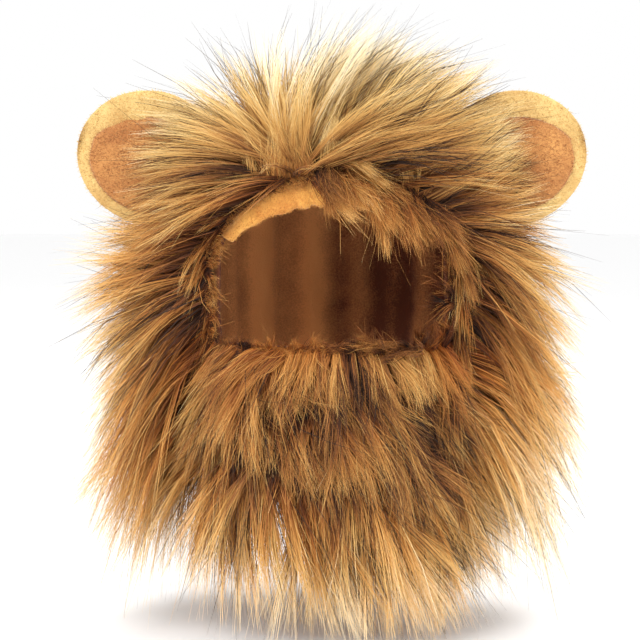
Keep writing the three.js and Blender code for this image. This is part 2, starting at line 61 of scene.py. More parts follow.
# The shapes below are worked out in millimetres, with heights from the middle of the face opening
millimetre = 0.001
hood = dict(
    halfWidth=60.0,
    frontDepth=50.0,
    backDepth=60.0,
    crownHeight=62.0,
    neckTaper=150.0,
    squareness=2.3,
    napeDrop=66.0,
    throatDrop=86.0,
    seam=58.0,  # degrees from straight ahead to each side of the face opening
    archHeight=37.0,
    archSquareness=1.9,
    chinTop=31.0,
    liningOut=-2.8,
    backing=1.8,
)
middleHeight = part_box("hood_lining")[1].z / millimetre - hood["crownHeight"] - hood["liningOut"]


def smooth(t):
    t = np.clip(t, 0, 1)
    return t * t * (3 - 2 * t)


def mix(a, b, t):
    return a + (b - a) * t


def unit(vectors):
    return vectors / np.maximum(np.linalg.norm(vectors, axis=-1, keepdims=True), 1e-9)


def stack(x, y, z):
    return np.stack(np.broadcast_arrays(x, y, z), axis=-1).astype(float)


def dot(a, b):
    return (a * b).sum(-1, keepdims=True)


def ripple(points, size, seed):
    # smooth noise from about -1 to 1: a sum of sines along seeded directions, size millimetres long
    waves = 7
    rng = np.random.default_rng(seed)
    directions = unit(rng.normal(size=(waves, 3))) * (2 * np.pi / size) * rng.uniform(0.7, 1.5, (waves, 1))
    phases = rng.uniform(0, 2 * np.pi, waves)
    return np.sin(points @ directions.T + phases).sum(-1) / math.sqrt(waves)


# The skin is the outside of the fur's backing, a superellipsoid with its own half axis on each side


def axesAt(points, grow):
    depth = np.where(points[..., 1] < 0, hood["frontDepth"], hood["backDepth"]) + grow
    reach = np.where(points[..., 2] > 0, hood["crownHeight"], hood["neckTaper"]) + grow
    return stack(hood["halfWidth"] + grow, depth, reach)


def skinLevel(points, grow=0.0):
    # 1 on the skin, less inside it: the p-norm of the point over the half axes
    return (np.abs(points / axesAt(points, grow)) ** hood["squareness"]).sum(-1) ** (1 / hood["squareness"])


def skinAlong(directions, grow=0.0):
    return directions / skinLevel(directions, grow)[..., None]


def skinPoint(azimuth, height, grow=0.0):
    # the skin at a height: the level ellipse, drawn in as the height nears the crown or the neck's taper
    level = stack(np.sin(azimuth), -np.cos(azimuth), 0.0 * azimuth)
    radius = 1 / skinLevel(level, grow)
    reach = np.where(height > 0, hood["crownHeight"], hood["neckTaper"]) + grow
    power = hood["squareness"]
    radius = radius * np.maximum(0, 1 - np.abs(height / reach) ** power) ** (1 / power)
    return stack(np.sin(azimuth) * radius, -np.cos(azimuth) * radius, height)


def skinNormal(points, grow=0.0):
    axes = axesAt(points, grow)
    power = hood["squareness"] - 1
    return unit(np.sign(points) * np.abs(points / axes) ** power / axes)


def rimHeight(y):
    share = (y + hood["frontDepth"]) / (hood["frontDepth"] + hood["backDepth"])
    return -mix(hood["throatDrop"], hood["napeDrop"], share)


def archTop(azimuth):
    # upper edge of the face opening: a superellipse over the azimuth
    side = np.minimum(1, np.abs(azimuth) / math.radians(hood["seam"]))
    power = hood["archSquareness"]
    return hood["archHeight"] * (1 - side**power) ** (1 / power)


def azimuthOf(points):
    return np.arctan2(points[..., 0], -points[..., 1])


# Meshes


def gridFaces(rows, columns, closed=False):
    # quads between neighbouring rows and columns of a grid of points, joined round if closed
    steps = columns if closed else columns - 1
    row, column = np.meshgrid(np.arange(rows - 1) * columns, np.arange(steps), indexing="ij")
    after = (column + 1) % columns
    corners = [row + column, row + after, row + columns + after, row + columns + column]
    return np.stack(corners, axis=-1).reshape(-1, 4)


def meshFrom(name, points, quads):
    mesh = bpy.data.meshes.new(name)
    mesh.vertices.add(len(points))
    placed = (points + (0, 0, middleHeight)) * millimetre
    mesh.vertices.foreach_set("co", placed.ravel())
    mesh.loops.add(quads.size)
    mesh.loops.foreach_set("vertex_index", quads.ravel())
    mesh.polygons.add(len(quads))
    mesh.polygons.foreach_set("loop_start", np.arange(len(quads)) * 4)
    mesh.polygons.foreach_set("use_smooth", np.ones(len(quads), bool))
    mesh.update(calc_edges=True)
    return mesh


weldDistance = 0.02  # points closer than this are joined, in millimetres
sliverLength = 0.001  # edges shorter than this are dissolved


def closeSeams(mesh, faceOut=True):
    # joins the points that meet at seams and poles, and turns the faces outwards
    work = bmesh.new()
    work.from_mesh(mesh)
    bmesh.ops.remove_doubles(work, verts=work.verts, dist=weldDistance * millimetre)
    bmesh.ops.dissolve_degenerate(work, edges=work.edges, dist=sliverLength * millimetre)
    if faceOut:
        bmesh.ops.recalc_face_normals(work, faces=work.faces)
    work.to_mesh(mesh)
    work.free()


def faceForwards(mesh):
    # turns an open sheet so that its outside looks to the front, where y is negative
    if mesh.polygons[0].normal.y > 0:
        mesh.flip_normals()


def setAttribute(mesh, name, values):
    attribute = mesh.attributes.new(name, "FLOAT", "POINT")
    attribute.data.foreach_set("value", np.ascontiguousarray(values, np.float32).ravel())


def addPiece(name, mesh, finish, slot, *nodes):
    mesh.materials.append(finish)
    piece = bpy.data.objects.new(name, mesh)
    bpy.context.scene.collection.objects.link(piece)
    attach(piece, "root")
    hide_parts(*nodes)
    return piece


def thicken(piece, thickness):
    wall = piece.modifiers.new("wall", "SOLIDIFY")
    wall.thickness = thickness * millimetre
    wall.offset = -1
    wall.use_even_offset = True


# Materials


class Wire:
    # one output of a node; sums on it add Math nodes
    def __init__(self, finish, socket):
        self.finish = finish
        self.socket = socket

    def worked(self, operation, first, second):
        return self.finish.node("Math", {"operation": operation}, {0: first, 1: second})

    def __add__(self, other):
        return self.worked("ADD", self, other)

    def __sub__(self, other):
        return self.worked("SUBTRACT", self, other)

    def __rsub__(self, other):
        return self.worked("SUBTRACT", other, self)

    def __mul__(self, other):
        return self.worked("MULTIPLY", self, other)

    def __pow__(self, other):
        return self.worked("POWER", self, other)

    __radd__ = __add__
    __rmul__ = __mul__


class Finish:
    # a material, its surface shader, and one way to add any node to it
    def __init__(self, name, roughness, specular=0.5, sheen=0.0, sheenRoughness=0.5):
        self.material = bpy.data.materials.new(name)
        self.material.use_nodes = True
        self.tree = self.material.node_tree
        self.tree.nodes.clear()
        self.surface = self.tree.nodes.new("ShaderNodeBsdfPrincipled")
        output = self.tree.nodes.new("ShaderNodeOutputMaterial")
        self.tree.links.new(self.surface.outputs[0], output.inputs["Surface"])
        self.set("Roughness", roughness)
        self.set("Specular IOR Level", specular)
        self.set("Sheen Weight", sheen)
        self.set("Sheen Roughness", sheenRoughness)

    def node(self, kind, settings=None, inputs=None, output=0):
        node = self.tree.nodes.new("ShaderNode" + kind)
        for key, value in (settings or {}).items():
            if key == "stops":
                self.setStops(node.color_ramp, value)
            else:
                setattr(node, key, value)
        for key, value in (inputs or {}).items():
            self.feed(node.inputs[key], value)
        return Wire(self, node.outputs[output])

    def setStops(self, ramp, stops):
        while len(ramp.elements) < len(stops):
            ramp.elements.new(0.5)
        for element, (place, shade) in zip(ramp.elements, stops):
            element.position = place
            element.color = shade

    def feed(self, socket, value):
        if isinstance(value, Wire):
            self.tree.links.new(value.socket, socket)
        else:
            socket.default_value = value

    def set(self, name, value):
        self.feed(self.surface.inputs[name], value)

    def attribute(self, name):
        return self.node("Attribute", {"attribute_name": name}, output="Fac")

    def ramp(self, stops, place):
        return self.node("ValToRGB", {"stops": stops}, {0: place}, "Color")

    def blend(self, share, first, second, how="MIX"):
        # inputs 6 and 7 and output 2 are the colour ones of a Mix node
        settings = {"data_type": "RGBA", "blend_type": how}
        return self.node("Mix", settings, {0: share, 6: first, 7: second}, 2)

    def noise(self, scale, detail, roughness=0.5):
        place = self.node("TexCoord", output="Object")
        values = {"Vector": place, "Scale": scale, "Detail": detail, "Roughness": roughness}
        return self.node("TexNoise", inputs=values, output="Fac")

    def bump(self, height, distance, strength):
        values = {"Height": height, "Distance": distance, "Strength": strength}
        self.set("Normal", self.node("Bump", inputs=values, output="Normal"))


def colour(red, green, blue):
    # a colour as read off a screen, 0 to 255, made linear by the screen's own curve
    linear = [((c / 255 + 0.055) / 1.055) ** 2.4 if c > 10 else c / 3295 for c in (red, green, blue)]
    return (*linear, 1.0)


furLook = dict(
    stops=[
        (0.0, colour(40, 24, 14)),
        (0.18, colour(98, 58, 31)),
        (0.36, colour(162, 108, 55)),
        (0.55, colour(206, 158, 87)),
        (0.74, colour(228, 194, 126)),
        (1.0, colour(250, 236, 200)),
    ],
    rust=colour(252, 196, 134),
    black=colour(42, 30, 24),
    rootDarkAndShade=0.66,  # how far a strand's root is darker than its tip: the fur's own dark roots, and painted shade deep in the pile
    middle=0.6,  # the place along a strand that has the strand's own tone
)


def furFinish(name):
    # dark root to pale tip, moved along one ramp by the strand's own tone; the dark roots are partly painted
    # shade deep in the pile
    # rusty strands are tinted over that, and black ones painted over
    finish = Finish(name, roughness=0.6, specular=0.22, sheen=0.04, sheenRoughness=0.4)
    along = finish.attribute("along") - furLook["middle"]
    shade = finish.ramp(furLook["stops"], finish.attribute("tone") + along * furLook["rootDarkAndShade"])
    shade = finish.blend(finish.attribute("rust"), shade, furLook["rust"], "MULTIPLY")
    shade = finish.blend(finish.attribute("black"), shade, furLook["black"])
    finish.set("Base Color", shade)
    return finish.material


plush = dict(
    tufts=1400.0,  # scale of the noise that parts the nap
    folds=62.0,  # scale of the soft folds under it
    lift=0.0004,  # metres that the nap stands
    tuftShare=0.4,
    patchShare=0.6,
    paintedShadingShare=0.9,  # where the lining has painted light and shade (lit fold crests, shaded right side and edges), it counts for more than its mottling
    patchesUnderShading=0.4,
)


def plushFinish(name, dark, light, mottle=90.0, sheen=0.25, paintedShaded=False, folds=0.0):
    # short pile: a mottled colour, finer where the nap parts, with a bumpy nap over soft folds
    finish = Finish(name, roughness=0.9, specular=0.2, sheen=sheen)
    patches = finish.noise(mottle, 3.0)
    tufts = finish.noise(plush["tufts"], 3.0, 0.65)
    # on the lining, the painted highlight on the fold crests and the painted shade at the right and the
    # edges, from the mesh's attribute
    if paintedShaded:
        patches = patches * plush["patchesUnderShading"] + finish.attribute("crest") * plush["paintedShadingShare"]
    place = patches * plush["patchShare"] + tufts * plush["tuftShare"]
    finish.set("Base Color", finish.ramp([(0.3, dark), (0.7, light)], place))
    finish.bump(tufts + folds * finish.noise(plush["folds"], 1.0), plush["lift"], 0.8)
    return finish.material


def knitFinish(name, dark, light):
    # a woven back: fine ribs under a mottled colour
    finish = Finish(name, roughness=0.95, specular=0.15)
    wave = {"Scale": 240.0, "Distortion": 3.0, "Detail": 1.0}
    ribs = finish.node("TexWave", {"bands_direction": "Z"}, wave, "Fac")
    patches = finish.noise(220.0, 3.0)
    finish.set("Base Color", finish.ramp([(0.2, dark), (0.8, light)], ribs * 0.4 + patches * 0.6))
    finish.bump(ribs, 0.0002, 0.5)
    return finish.material


manePile = furFinish("mane_pile")
# the knitted backing's dark brown is its own colour and also painted shade among the fur's roots
maneKnitAndRootShade = knitFinish("mane_knit_root_shade", colour(52, 34, 24), colour(86, 58, 38))
# the lining's plush carries painted light and shade: lighter fold crests, a darker right side and darker
# edges
liningPlush = plushFinish("lining_plush", colour(104, 57, 38), colour(230, 158, 96), sheen=0.08, paintedShaded=True)
hemPlush = plushFinish("hem_plush", colour(188, 114, 52), colour(238, 180, 90), mottle=60.0, folds=14.0)
earPlush = plushFinish("ear_plush", colour(188, 144, 84), colour(228, 198, 130), folds=4.0)
patchPlush = plushFinish("ear_patch_plush", colour(152, 90, 50), colour(210, 152, 88), mottle=60.0, folds=2.0)
closureTape = knitFinish("closure_tape", colour(58, 40, 26), colour(92, 66, 42))
print("stage: materials ready")

# The hood and both flaps are made of two layers of cloth, a plush lining and the fur's knitted backing

plushLayer = dict(grow=hood["liningOut"], thickness=1.6, finish=liningPlush, slot="lining")
knitLayer = dict(grow=0.0, thickness=hood["backing"], finish=maneKnitAndRootShade, slot="mane")


def layerPiece(name, mesh, layer, node):
    piece = addPiece(name, mesh, layer["finish"], layer["slot"], node)
    thicken(piece, layer["thickness"])
    return piece


# Both layers of the hood

lining = dict(
    domeRows=24,
    skirtRows=22,
    archColumns=40,
    backColumns=88,
    seamCrowding=1.7,  # how much closer together the arch's columns stand towards the seams
    # upright folds inside the back: degrees from straight ahead, half width in degrees, depth in millimetres
    folds=[
        (-172, 11, 4.2),
        (166, 9, 2.8),
        (-146, 10, 4.6),
        (132, 12, 3.8),
        (-112, 10, 2.4),
        (150, 6, 1.6),
        (-130, 5, 1.4),
    ],
    foldFade=9.0,  # millimetres above the neck rim over which the folds die out
    creases=0.35,  # height of the small creases between the folds
    creaseSize=24.0,
    shade=0.36,
    paintedCrestLight=0.125,  # painted highlight: how much a millimetre of fold lightens its crest
    paintedSideShade=-0.5,  # painted shade at the viewer's right
    paintedEdgeShade=-0.4,  # painted shade along the edge of the face opening and the flaps' upper edge
)


def foldDepth(azimuth, height):
    # each fold is a squared cosine across, which fades towards the crown
    depth = np.zeros_like(azimuth)
    for place, width, deepest in lining["folds"]:
        off = (np.degrees(azimuth) - place + 180) % 360 - 180
        depth += np.where(np.abs(off) < width, deepest * np.cos(off / width * np.pi / 2) ** 2, 0)
    return depth * smooth((hood["crownHeight"] - height) / hood["crownHeight"])


def rimAt(azimuth, grow):
    # where the neck rim's slanting line meets each meridian, by repeated substitution
    height = -0.5 * (hood["napeDrop"] + hood["throatDrop"]) + 0 * azimuth
    for _ in range(6):
        height = rimHeight(skinPoint(azimuth, height, grow)[..., 1])
    return height


def hoodSheet(grow, folded):
    # the dome's meridians end at the arch in front, and run on down to the neck rim at the sides and back
    seam = math.radians(hood["seam"])
    power = hood["squareness"]
    crown = hood["crownHeight"] + grow
    bowed = np.linspace(-1, 1, lining["archColumns"] + 1)
    front = seam * np.sign(bowed) * (1 - (1 - np.abs(bowed)) ** lining["seamCrowding"])
    back = np.linspace(seam, 2 * np.pi - seam, lining["backColumns"] + 1)
    sheets = []
    for azimuth, ends, skirted in ((front, archTop(front), False), (back, 0 * back, True)):
        last = np.arccos(np.clip(ends / crown, 0, 1) ** (power / 2))
        turn = np.linspace(0, 1, lining["domeRows"] + 1)[:, None] * last
        height = crown * np.cos(turn) ** (2 / power)
        if skirted:
            down = np.linspace(0, 1, lining["skirtRows"] + 1)[1:, None] * rimAt(azimuth, grow)
            height = np.concatenate([height, down])
        around = np.broadcast_to(azimuth, height.shape)
        points = skinPoint(around, height, grow)
        depth = foldDepth(around, height)
        if folded:
            inward = depth + lining["creases"] * (1 + ripple(points, lining["creaseSize"], 11))
            if skirted:
                inward *= smooth((height - rimAt(around, grow)) / lining["foldFade"])
            points = points - skinNormal(points, grow) * inward[..., None]
        sheets.append((points.reshape(-1, 3), gridFaces(*height.shape), depth.ravel()))
    (frontPoints, frontQuads, frontDepth), (backPoints, backQuads, backDepth) = sheets
    points = np.concatenate([frontPoints, backPoints])
    quads = np.concatenate([frontQuads, backQuads + len(frontPoints)])
    return points, quads, np.concatenate([frontDepth, backDepth])


def paintedShadingAt(points, depth):
    # painted light and shade on the plush: a painted highlight on the folds' crests, painted shade at the
    # viewer's right and round the opening
    shade = lining["shade"] + lining["paintedCrestLight"] * depth
    shade = shade + lining["paintedSideShade"] * smooth((points[:, 0] + 20) / 50)
    off = np.degrees(np.abs(azimuthOf(points)))
    edge = smooth((points[:, 2] + 40) / 4) * smooth((hood["seam"] + 2.5 - off) / 2)
    return shade + lining["paintedEdgeShade"] * edge


def hoodPiece(name, layer, node, folded=False):
    points, quads, depth = hoodSheet(layer["grow"], folded)
    mesh = meshFrom(name, points, quads)
    setAttribute(mesh, "crest", paintedShadingAt(points, depth))
    closeSeams(mesh)
    return layerPiece(name, mesh, layer, node)


liningCloth = hoodPiece("hood_lining_cloth", plushLayer, "hood_lining", folded=True)
hoodPiece("mane_backing", knitLayer, "mane_fur")
print("stage: hood sheets")

# Chin flaps

flaps = dict(
    lapLift=7.4,  # how far the left flap stands off where it passes over the closure and the right flap
    lapWay=32.0,  # degrees from the seam over which it rises that far
    cornerFrom=14.0,  # degrees from straight ahead where the free end's corner starts to round off
    cornerWay=22.0,
    cornerPower=2.2,
    left=dict(first=-56.8, last=36.0, top=-31.0, drop=0.0, laps=True, corner=15.0),
    right=dict(first=-20.0, last=56.8, top=-34.0, drop=9.0, laps=False, corner=0.0),
    columns=48,
    rows=26,
)


def flapStand(flap, azimuth):
    # how far the flap stands off the skin
    if not flap["laps"]:
        return 0 * azimuth
    return flaps["lapLift"] * smooth((np.degrees(azimuth) + hood["seam"]) / flaps["lapWay"])


def flapPoint(flap, azimuth, share, offset=0.0):
    # share is the way down from the flap's upper edge to its lower one, which follows the neck rim
    # the upper corner at the free end is rounded off
    front = skinPoint(azimuth, flap["top"] + 0 * azimuth)[..., 1]
    bottom = rimHeight(front) - flap["drop"]
    rounded = np.clip((np.degrees(azimuth) - flaps["cornerFrom"]) / flaps["cornerWay"], 0, 1)
    top = flap["top"] - flap["corner"] * rounded ** flaps["cornerPower"]
    return skinPoint(azimuth, mix(top, bottom, share), flapStand(flap, azimuth) + offset)


def flapSheet(flap, offset):
    azimuth = np.radians(np.linspace(flap["first"], flap["last"], flaps["columns"] + 1))
    share, azimuth = np.meshgrid(np.linspace(0, 1, flaps["rows"] + 1), azimuth, indexing="ij")
    return flapPoint(flap, azimuth, share, offset).reshape(-1, 3), gridFaces(*share.shape)


def flapPiece(name, side, layer, node):
    mesh = meshFrom(name, *flapSheet(flaps[side], layer["grow"]))
    upperRow = np.arange(len(mesh.vertices)) <= flaps["columns"]
    # painted shade along the flap's upper edge
    setAttribute(mesh, "crest", lining["shade"] + lining["paintedEdgeShade"] * upperRow)
    closeSeams(mesh, faceOut=False)
    faceForwards(mesh)
    return layerPiece(name, mesh, layer, node)


for side in ("left", "right"):
    flapPiece(side + "_flap_cloth", side, plushLayer, side + "_flap_lining")
    flapPiece(side + "_flap_backing", side, knitLayer, side + "_flap_fur")

# Hook-and-loop strip between the flaps

closure = dict(
    width=44.0,
    height=26.0,
    thickness=2.0,
    azimuth=8.0,
    stand=0.4,
    narrowing=0.06,  # how far the corners are drawn in across, and up or down
    shortening=0.05,
    rounding=6,
)


def closureSheet():
    # a strip on the skin, a little narrower and shorter towards its rounded corners
    across, down = np.meshgrid(np.linspace(-1, 1, 31), np.linspace(-1, 1, 19))
    narrowed = 1 - closure["narrowing"] * np.abs(down) ** closure["rounding"]
    shortened = 1 - closure["shortening"] * np.abs(across) ** closure["rounding"]
    azimuth = math.radians(closure["azimuth"]) + across * narrowed * closure["width"] / 2 / hood["frontDepth"]
    middle = -mix(hood["chinTop"], hood["throatDrop"], 0.5)
    height = middle - down * closure["height"] / 2 * shortened
    points = skinPoint(azimuth, height, closure["stand"] + closure["thickness"])
    return points.reshape(-1, 3), gridFaces(*across.shape)


closureMesh = meshFrom("closure_strip", *closureSheet())
faceForwards(closureMesh)
closureStrip = addPiece("closure_strip", closureMesh, closureTape, "closure", "closure_patch")
thicken(closureStrip, closure["thickness"])
print("stage: flaps and closure")

# Short plush nap: one thin quad a fibre, leaning with the pile


def atlas(count, stations):
    # a cell of its own for every strand in the bake's square, with a little room round it
    sides, ends = np.array([0.18, 0.82]), (0.06, 0.94)
    columns = math.ceil(math.sqrt(count / 4))
    rows = math.ceil(count / columns)
    cell = np.arange(count)
    left = (cell % columns) / columns
    low = (cell // columns) / rows
    u = (left[:, None] + sides / columns)[:, None, :]
    v = (low[:, None] + np.linspace(*ends, stations) / rows)[:, :, None]
    u, v = np.broadcast_arrays(u, v)
    return np.stack([u, v], axis=-1)


def ribbonMesh(name, centres, across, extras):
    # centres: strand, station, xyz; across: half the ribbon's width as a vector at each centre
    count, stations = centres.shape[:2]
    points = np.stack([centres - across, centres + across], axis=2)
    first = (np.arange(count)[:, None] * stations + np.arange(stations - 1)) * 2
    quads = np.stack([first, first + 1, first + 3, first + 2], axis=-1).reshape(-1, 4)
    mesh = meshFrom(name, points.reshape(-1, 3), quads)
    layer = mesh.uv_layers.new(name="OFBake")
    cells = atlas(count, stations).reshape(-1, 2)
    layer.data.foreach_set("uv", cells[quads.ravel()].astype(np.float32).ravel())
    for key, values in extras.items():
        setAttribute(mesh, key, np.broadcast_to(values[:, :, None], (count, stations, 2)))
    return mesh


def napMesh(name, points, normals, way, look, seed):
    # straight fibres that lean one way, each a little astray, and narrow to their tip
    rng = np.random.default_rng(seed)
    count = len(points)
    rise = unit(normals + way * look["lean"] + rng.normal(0, look["stray"], (count, 3)))
    length = look["length"] * rng.uniform(0.6, 1.15, (count, 1))
    side = unit(np.cross(rise, normals + rng.normal(0, 0.8, (count, 3))))
    stations = np.array([0.0, 1.0])
    centres = points[:, None] + (rise * length)[:, None] * stations[:, None]
    across = side[:, None] * look["width"] * (0.5 - 0.34 * stations[:, None])
    shade = {
        "along": np.broadcast_to(stations, (count, 2)),
        "tone": np.broadcast_to(rng.uniform(0, 1, (count, 1)), (count, 2)),
    }
    return ribbonMesh(name, centres, across, shade)


def napFinish(name, dark, light):
    # mottled like the plush under it, lighter towards the tips, and each fibre of its own tone
    finish = Finish(name, roughness=0.7, specular=0.25, sheen=0.15)
    place = finish.attribute("along") * 0.25 + finish.attribute("tone") * 0.16 + finish.noise(80.0, 2.0) * 0.6
    finish.set("Base Color", finish.ramp([(0.25, dark), (0.75, light)], place))
    return finish.material


def surfaceSamples(mesh, count, seed, keep=None):
    # points spread evenly over a mesh by area, with their normals, back in millimetres from the middle
    rng = np.random.default_rng(seed)
    mesh.calc_loop_triangles()
    corners = np.zeros(len(mesh.loop_triangles) * 3, np.int32)
    mesh.loop_triangles.foreach_get("vertices", corners)
    places = np.zeros(len(mesh.vertices) * 3, np.float32)
    mesh.vertices.foreach_get("co", places)
    places = places.reshape(-1, 3).astype(float) / millimetre - (0, 0, middleHeight)
    a, b, c = (places[corners.reshape(-1, 3)[:, k]] for k in range(3))
    normals = np.cross(b - a, c - a)
    area = np.linalg.norm(normals, axis=1)
    if keep is not None:
        area = area * keep((a + b + c) / 3, unit(normals))
    chosen = rng.choice(len(area), count, p=area / area.sum())
    u, v = rng.uniform(size=(2, count, 1))
    over = u + v > 1
    u, v = np.where(over, 1 - u, u), np.where(over, 1 - v, v)
    spots = a[chosen] + (b - a)[chosen] * u + (c - a)[chosen] * v
    return spots, unit(normals)[chosen]


def napPiece(name, mesh, look, seeds, way, finish, slot, node, keep=None):
    # the first seed places the fibres on the mesh, the second one sets each fibre's stray, length and side
    placing, bending = seeds
    spots, normals = surfaceSamples(mesh, look["fibres"], placing, keep)
    addPiece(name, napMesh(name, spots, normals, way, look, bending), finish, slot, node)


# Brow hem, a gathered plush roll along the arch

hem = dict(
    height=13.0,
    thickness=6.0,
    end=54.0,  # degrees from straight ahead
    set=5.5,  # how far the roll's middle lies inside the arch
    sink=0.2,
    gathers=9,
    gatherDepth=1.1,
    wander=0.9,  # how far the gathers wander from even places, and how fast
    wanderRate=17.0,
    blunt=0.06,
    pinch=0.16,  # how far the roll thins at each gather
    wrinkle=0.12,
    nap=dict(length=0.9, width=0.22, lean=0.5, stray=0.35, fibres=4000),
    napWay=(0.1, -0.1, -0.9),
)


def hemPoints():
    # an oval section carried along the arch, swelling between the gathers
    along, turn = np.meshgrid(np.linspace(0, 1, 201), np.linspace(0, 2 * np.pi, 29)[:-1], indexing="ij")
    azimuth = np.radians(mix(-hem["end"], hem["end"], along))
    step = 0.02
    slope = archTop(azimuth + step) - archTop(azimuth - step)
    lean = np.arctan2(slope, 2 * step * hood["frontDepth"])
    beat = np.cos(along * 2 * np.pi * hem["gathers"] + hem["wander"] * np.sin(along * hem["wanderRate"]))
    gather = 1 + hem["gatherDepth"] / hem["height"] * beat
    taper = np.sqrt(np.sin(mix(hem["blunt"], 1 - hem["blunt"], along) * np.pi))
    across = np.cos(turn) * hem["height"] / 2 * taper * gather
    depth = np.sin(turn) * hem["thickness"] / 2 * taper * (1 - hem["pinch"] * (0.5 - 0.5 * beat))
    inward = hem["set"] * taper
    height = archTop(azimuth) - (inward - across) * np.cos(lean)
    shift = (inward - across) * np.sin(lean) / hood["frontDepth"]
    points = skinPoint(azimuth + shift, height, hood["liningOut"] - hem["sink"] + depth)
    return points + skinNormal(points) * (hem["wrinkle"] * ripple(points, 6, 21))[..., None]


def capped(points):
    # closes both ends of a tube of rings with a pole at each ring's middle
    ends = [np.repeat(points[k].mean(0, keepdims=True), points.shape[1], 0)[None] for k in (0, -1)]
    return np.concatenate([ends[0], points, ends[1]])


def tubeMesh(name, points):
    rings = capped(points)
    mesh = meshFrom(name, rings.reshape(-1, 3), gridFaces(*rings.shape[:2], closed=True))
    closeSeams(mesh)
    return mesh


def mostlyFront(points, normals):
    # nearly all fibres grow on the side that is seen
    return (normals[:, 1] < 0.3) + 0.1


hemMesh = tubeMesh("brow_hem_roll", hemPoints())
hemRoll = addPiece("brow_hem_roll", hemMesh, hemPlush, "hem", "brow_hem")
hemNap = napFinish("hem_nap", colour(200, 128, 58), colour(234, 178, 92))
hemWay = np.array(hem["napWay"])
napPiece("brow_hem_nap", hemMesh, hem["nap"], (31, 32), hemWay, hemNap, "hem", "brow_hem", mostlyFront)
print("stage: brow hem")

# Ears

ears = dict(
    length=58.0,
    breadth=56.0,
    neck=38.0,
    widest=0.52,  # where along the ear it is broadest
    thickness=7.0,
    cupNeck=10.4,  # how deep the ear's cup is at its neck and at its tip
    cupTip=3.2,
    perch=37.0,  # degrees up the hood's side, then the ear's own tilt up and sweep back
    tilt=13.0,
    sweep=6.0,
    set=-4.0,
    root=10.0,  # how far the ear is let into the hood
    nap=dict(length=1.3, width=0.24, lean=0.9, stray=0.4, fibres=7000),
    patchThickness=1.4,
    patchSink=1.2,
    patchTop=11.0,  # how far the inner pad stays inside the ear's outline: top, bottom, tip and neck
    patchBottom=4.5,
    patchTip=5.0,
    patchNeck=9.0,
    patchNap=dict(length=1.1, width=0.22, lean=1.0, stray=0.4, fibres=4000),
)


def earHalfBreadth(share):
    out = np.clip((share - ears["widest"]) / (1 - ears["widest"]), 0, 1)
    neck = mix(ears["neck"], ears["breadth"], smooth(share / ears["widest"])) / 2
    return np.where(share > ears["widest"], ears["breadth"] / 2 * np.sqrt(1 - out**2), neck)


def earFrame(side):
    # where the ear is sewn on, its long axis, its breadth towards the top, and the way its cup faces
    level, tilt, sweep = (math.radians(ears[key]) for key in ("perch", "tilt", "sweep"))
    base = skinAlong(np.array([math.cos(level), 0.0, math.sin(level)]))
    base[1] = ears["set"]
    along = np.array([math.cos(tilt) * math.cos(sweep), math.sin(sweep), math.sin(tilt) * math.cos(sweep)])
    across = np.array([-math.sin(tilt), 0, math.cos(tilt)])
    front = unit(np.cross(along, across))
    front = front * -np.sign(front[1])
    mirror = np.array([side, 1, 1])
    return base * mirror, along * mirror, across * mirror, front * mirror


def earPoint(side, share, breadthShare, height):
    # a share of the length and of the half breadth, and a height off the cupped middle sheet
    base, along, across, front = earFrame(side)
    half = earHalfBreadth(share)
    cup = mix(ears["cupNeck"], ears["cupTip"], share) * breadthShare**2
    reach = mix(-ears["root"], ears["length"], share)
    flat = base + reach[..., None] * along + (half * breadthShare)[..., None] * across
    return flat + (cup + height)[..., None] * front


def earHalfThickness(share):
    return ears["thickness"] / 2 * np.sqrt(np.maximum(0, 1 - share**4))


def earStart(side, turn):
    # the share of the length at which each line of the ear leaves the hood's skin
    share, around = np.meshgrid(np.linspace(0, 0.6, 121), turn, indexing="ij")
    points = earPoint(side, share, np.cos(around), np.sin(around) * earHalfThickness(share))
    inside = skinLevel(points, -1.2) < 1
    return share[:, 0][np.maximum(0, inside.sum(0) - 1)]


def earBody(side):
    turn = np.linspace(0, 2 * np.pi, 97)[:-1]
    start = earStart(side, turn)
    share = mix(start, 1, np.sin(np.linspace(0, np.pi / 2, 65))[:, None])
    points = earPoint(side, share, np.cos(turn) + 0 * share, np.sin(turn) * earHalfThickness(share))
    fade = smooth((1 - share) / 0.04)[..., None]
    wave = ripple(points, 34, 41 + side)[..., None] * 0.5 + ripple(points, 9, 43 + side)[..., None] * 0.16
    return points + earFrame(side)[3] * wave * fade


def earPatchPoints(side):
    # a thin pad in the cup, its rim drawn down into the ear's front
    first = ears["patchNeck"] / ears["length"]
    last = 1 - ears["patchTip"] / ears["length"]
    place, rise = np.meshgrid(np.linspace(0, 1, 41), np.linspace(0, 1, 35), indexing="ij")
    share = mix(first, last, np.sin(place * np.pi / 2))
    half = earHalfBreadth(share)
    bow = np.sqrt(np.maximum(0, 1 - (place * 0.994) ** 4))
    low = -np.maximum(0, half - ears["patchBottom"]) * bow
    high = np.maximum(1, half - ears["patchTop"]) * bow
    breadthShare = mix(low, high, rise) / half
    front = earHalfThickness(share) * np.sqrt(np.maximum(0, 1 - breadthShare**2))
    edge = np.minimum(np.minimum(place, 1 - place) * 8, np.minimum(rise, 1 - rise) * 7)
    pad = ears["patchThickness"] * np.sqrt(smooth(edge)) - 0.2
    return earPoint(side, share, breadthShare, front + pad + 0.4)


def patchMesh(name, side):
    # the pad's upper face, and a lower one sunk under the ear's plush, joined round their rim
    upper = earPatchPoints(side)
    lower = upper.copy()
    lower[1:-1, 1:-1] -= earFrame(side)[3] * ears["patchSink"]
    rows, columns = upper.shape[:2]
    points = np.concatenate([upper.reshape(-1, 3), lower.reshape(-1, 3)])
    faces = gridFaces(rows, columns)
    mesh = meshFrom(name, points, np.concatenate([faces, faces[:, ::-1] + rows * columns]))
    closeSeams(mesh)
    return mesh


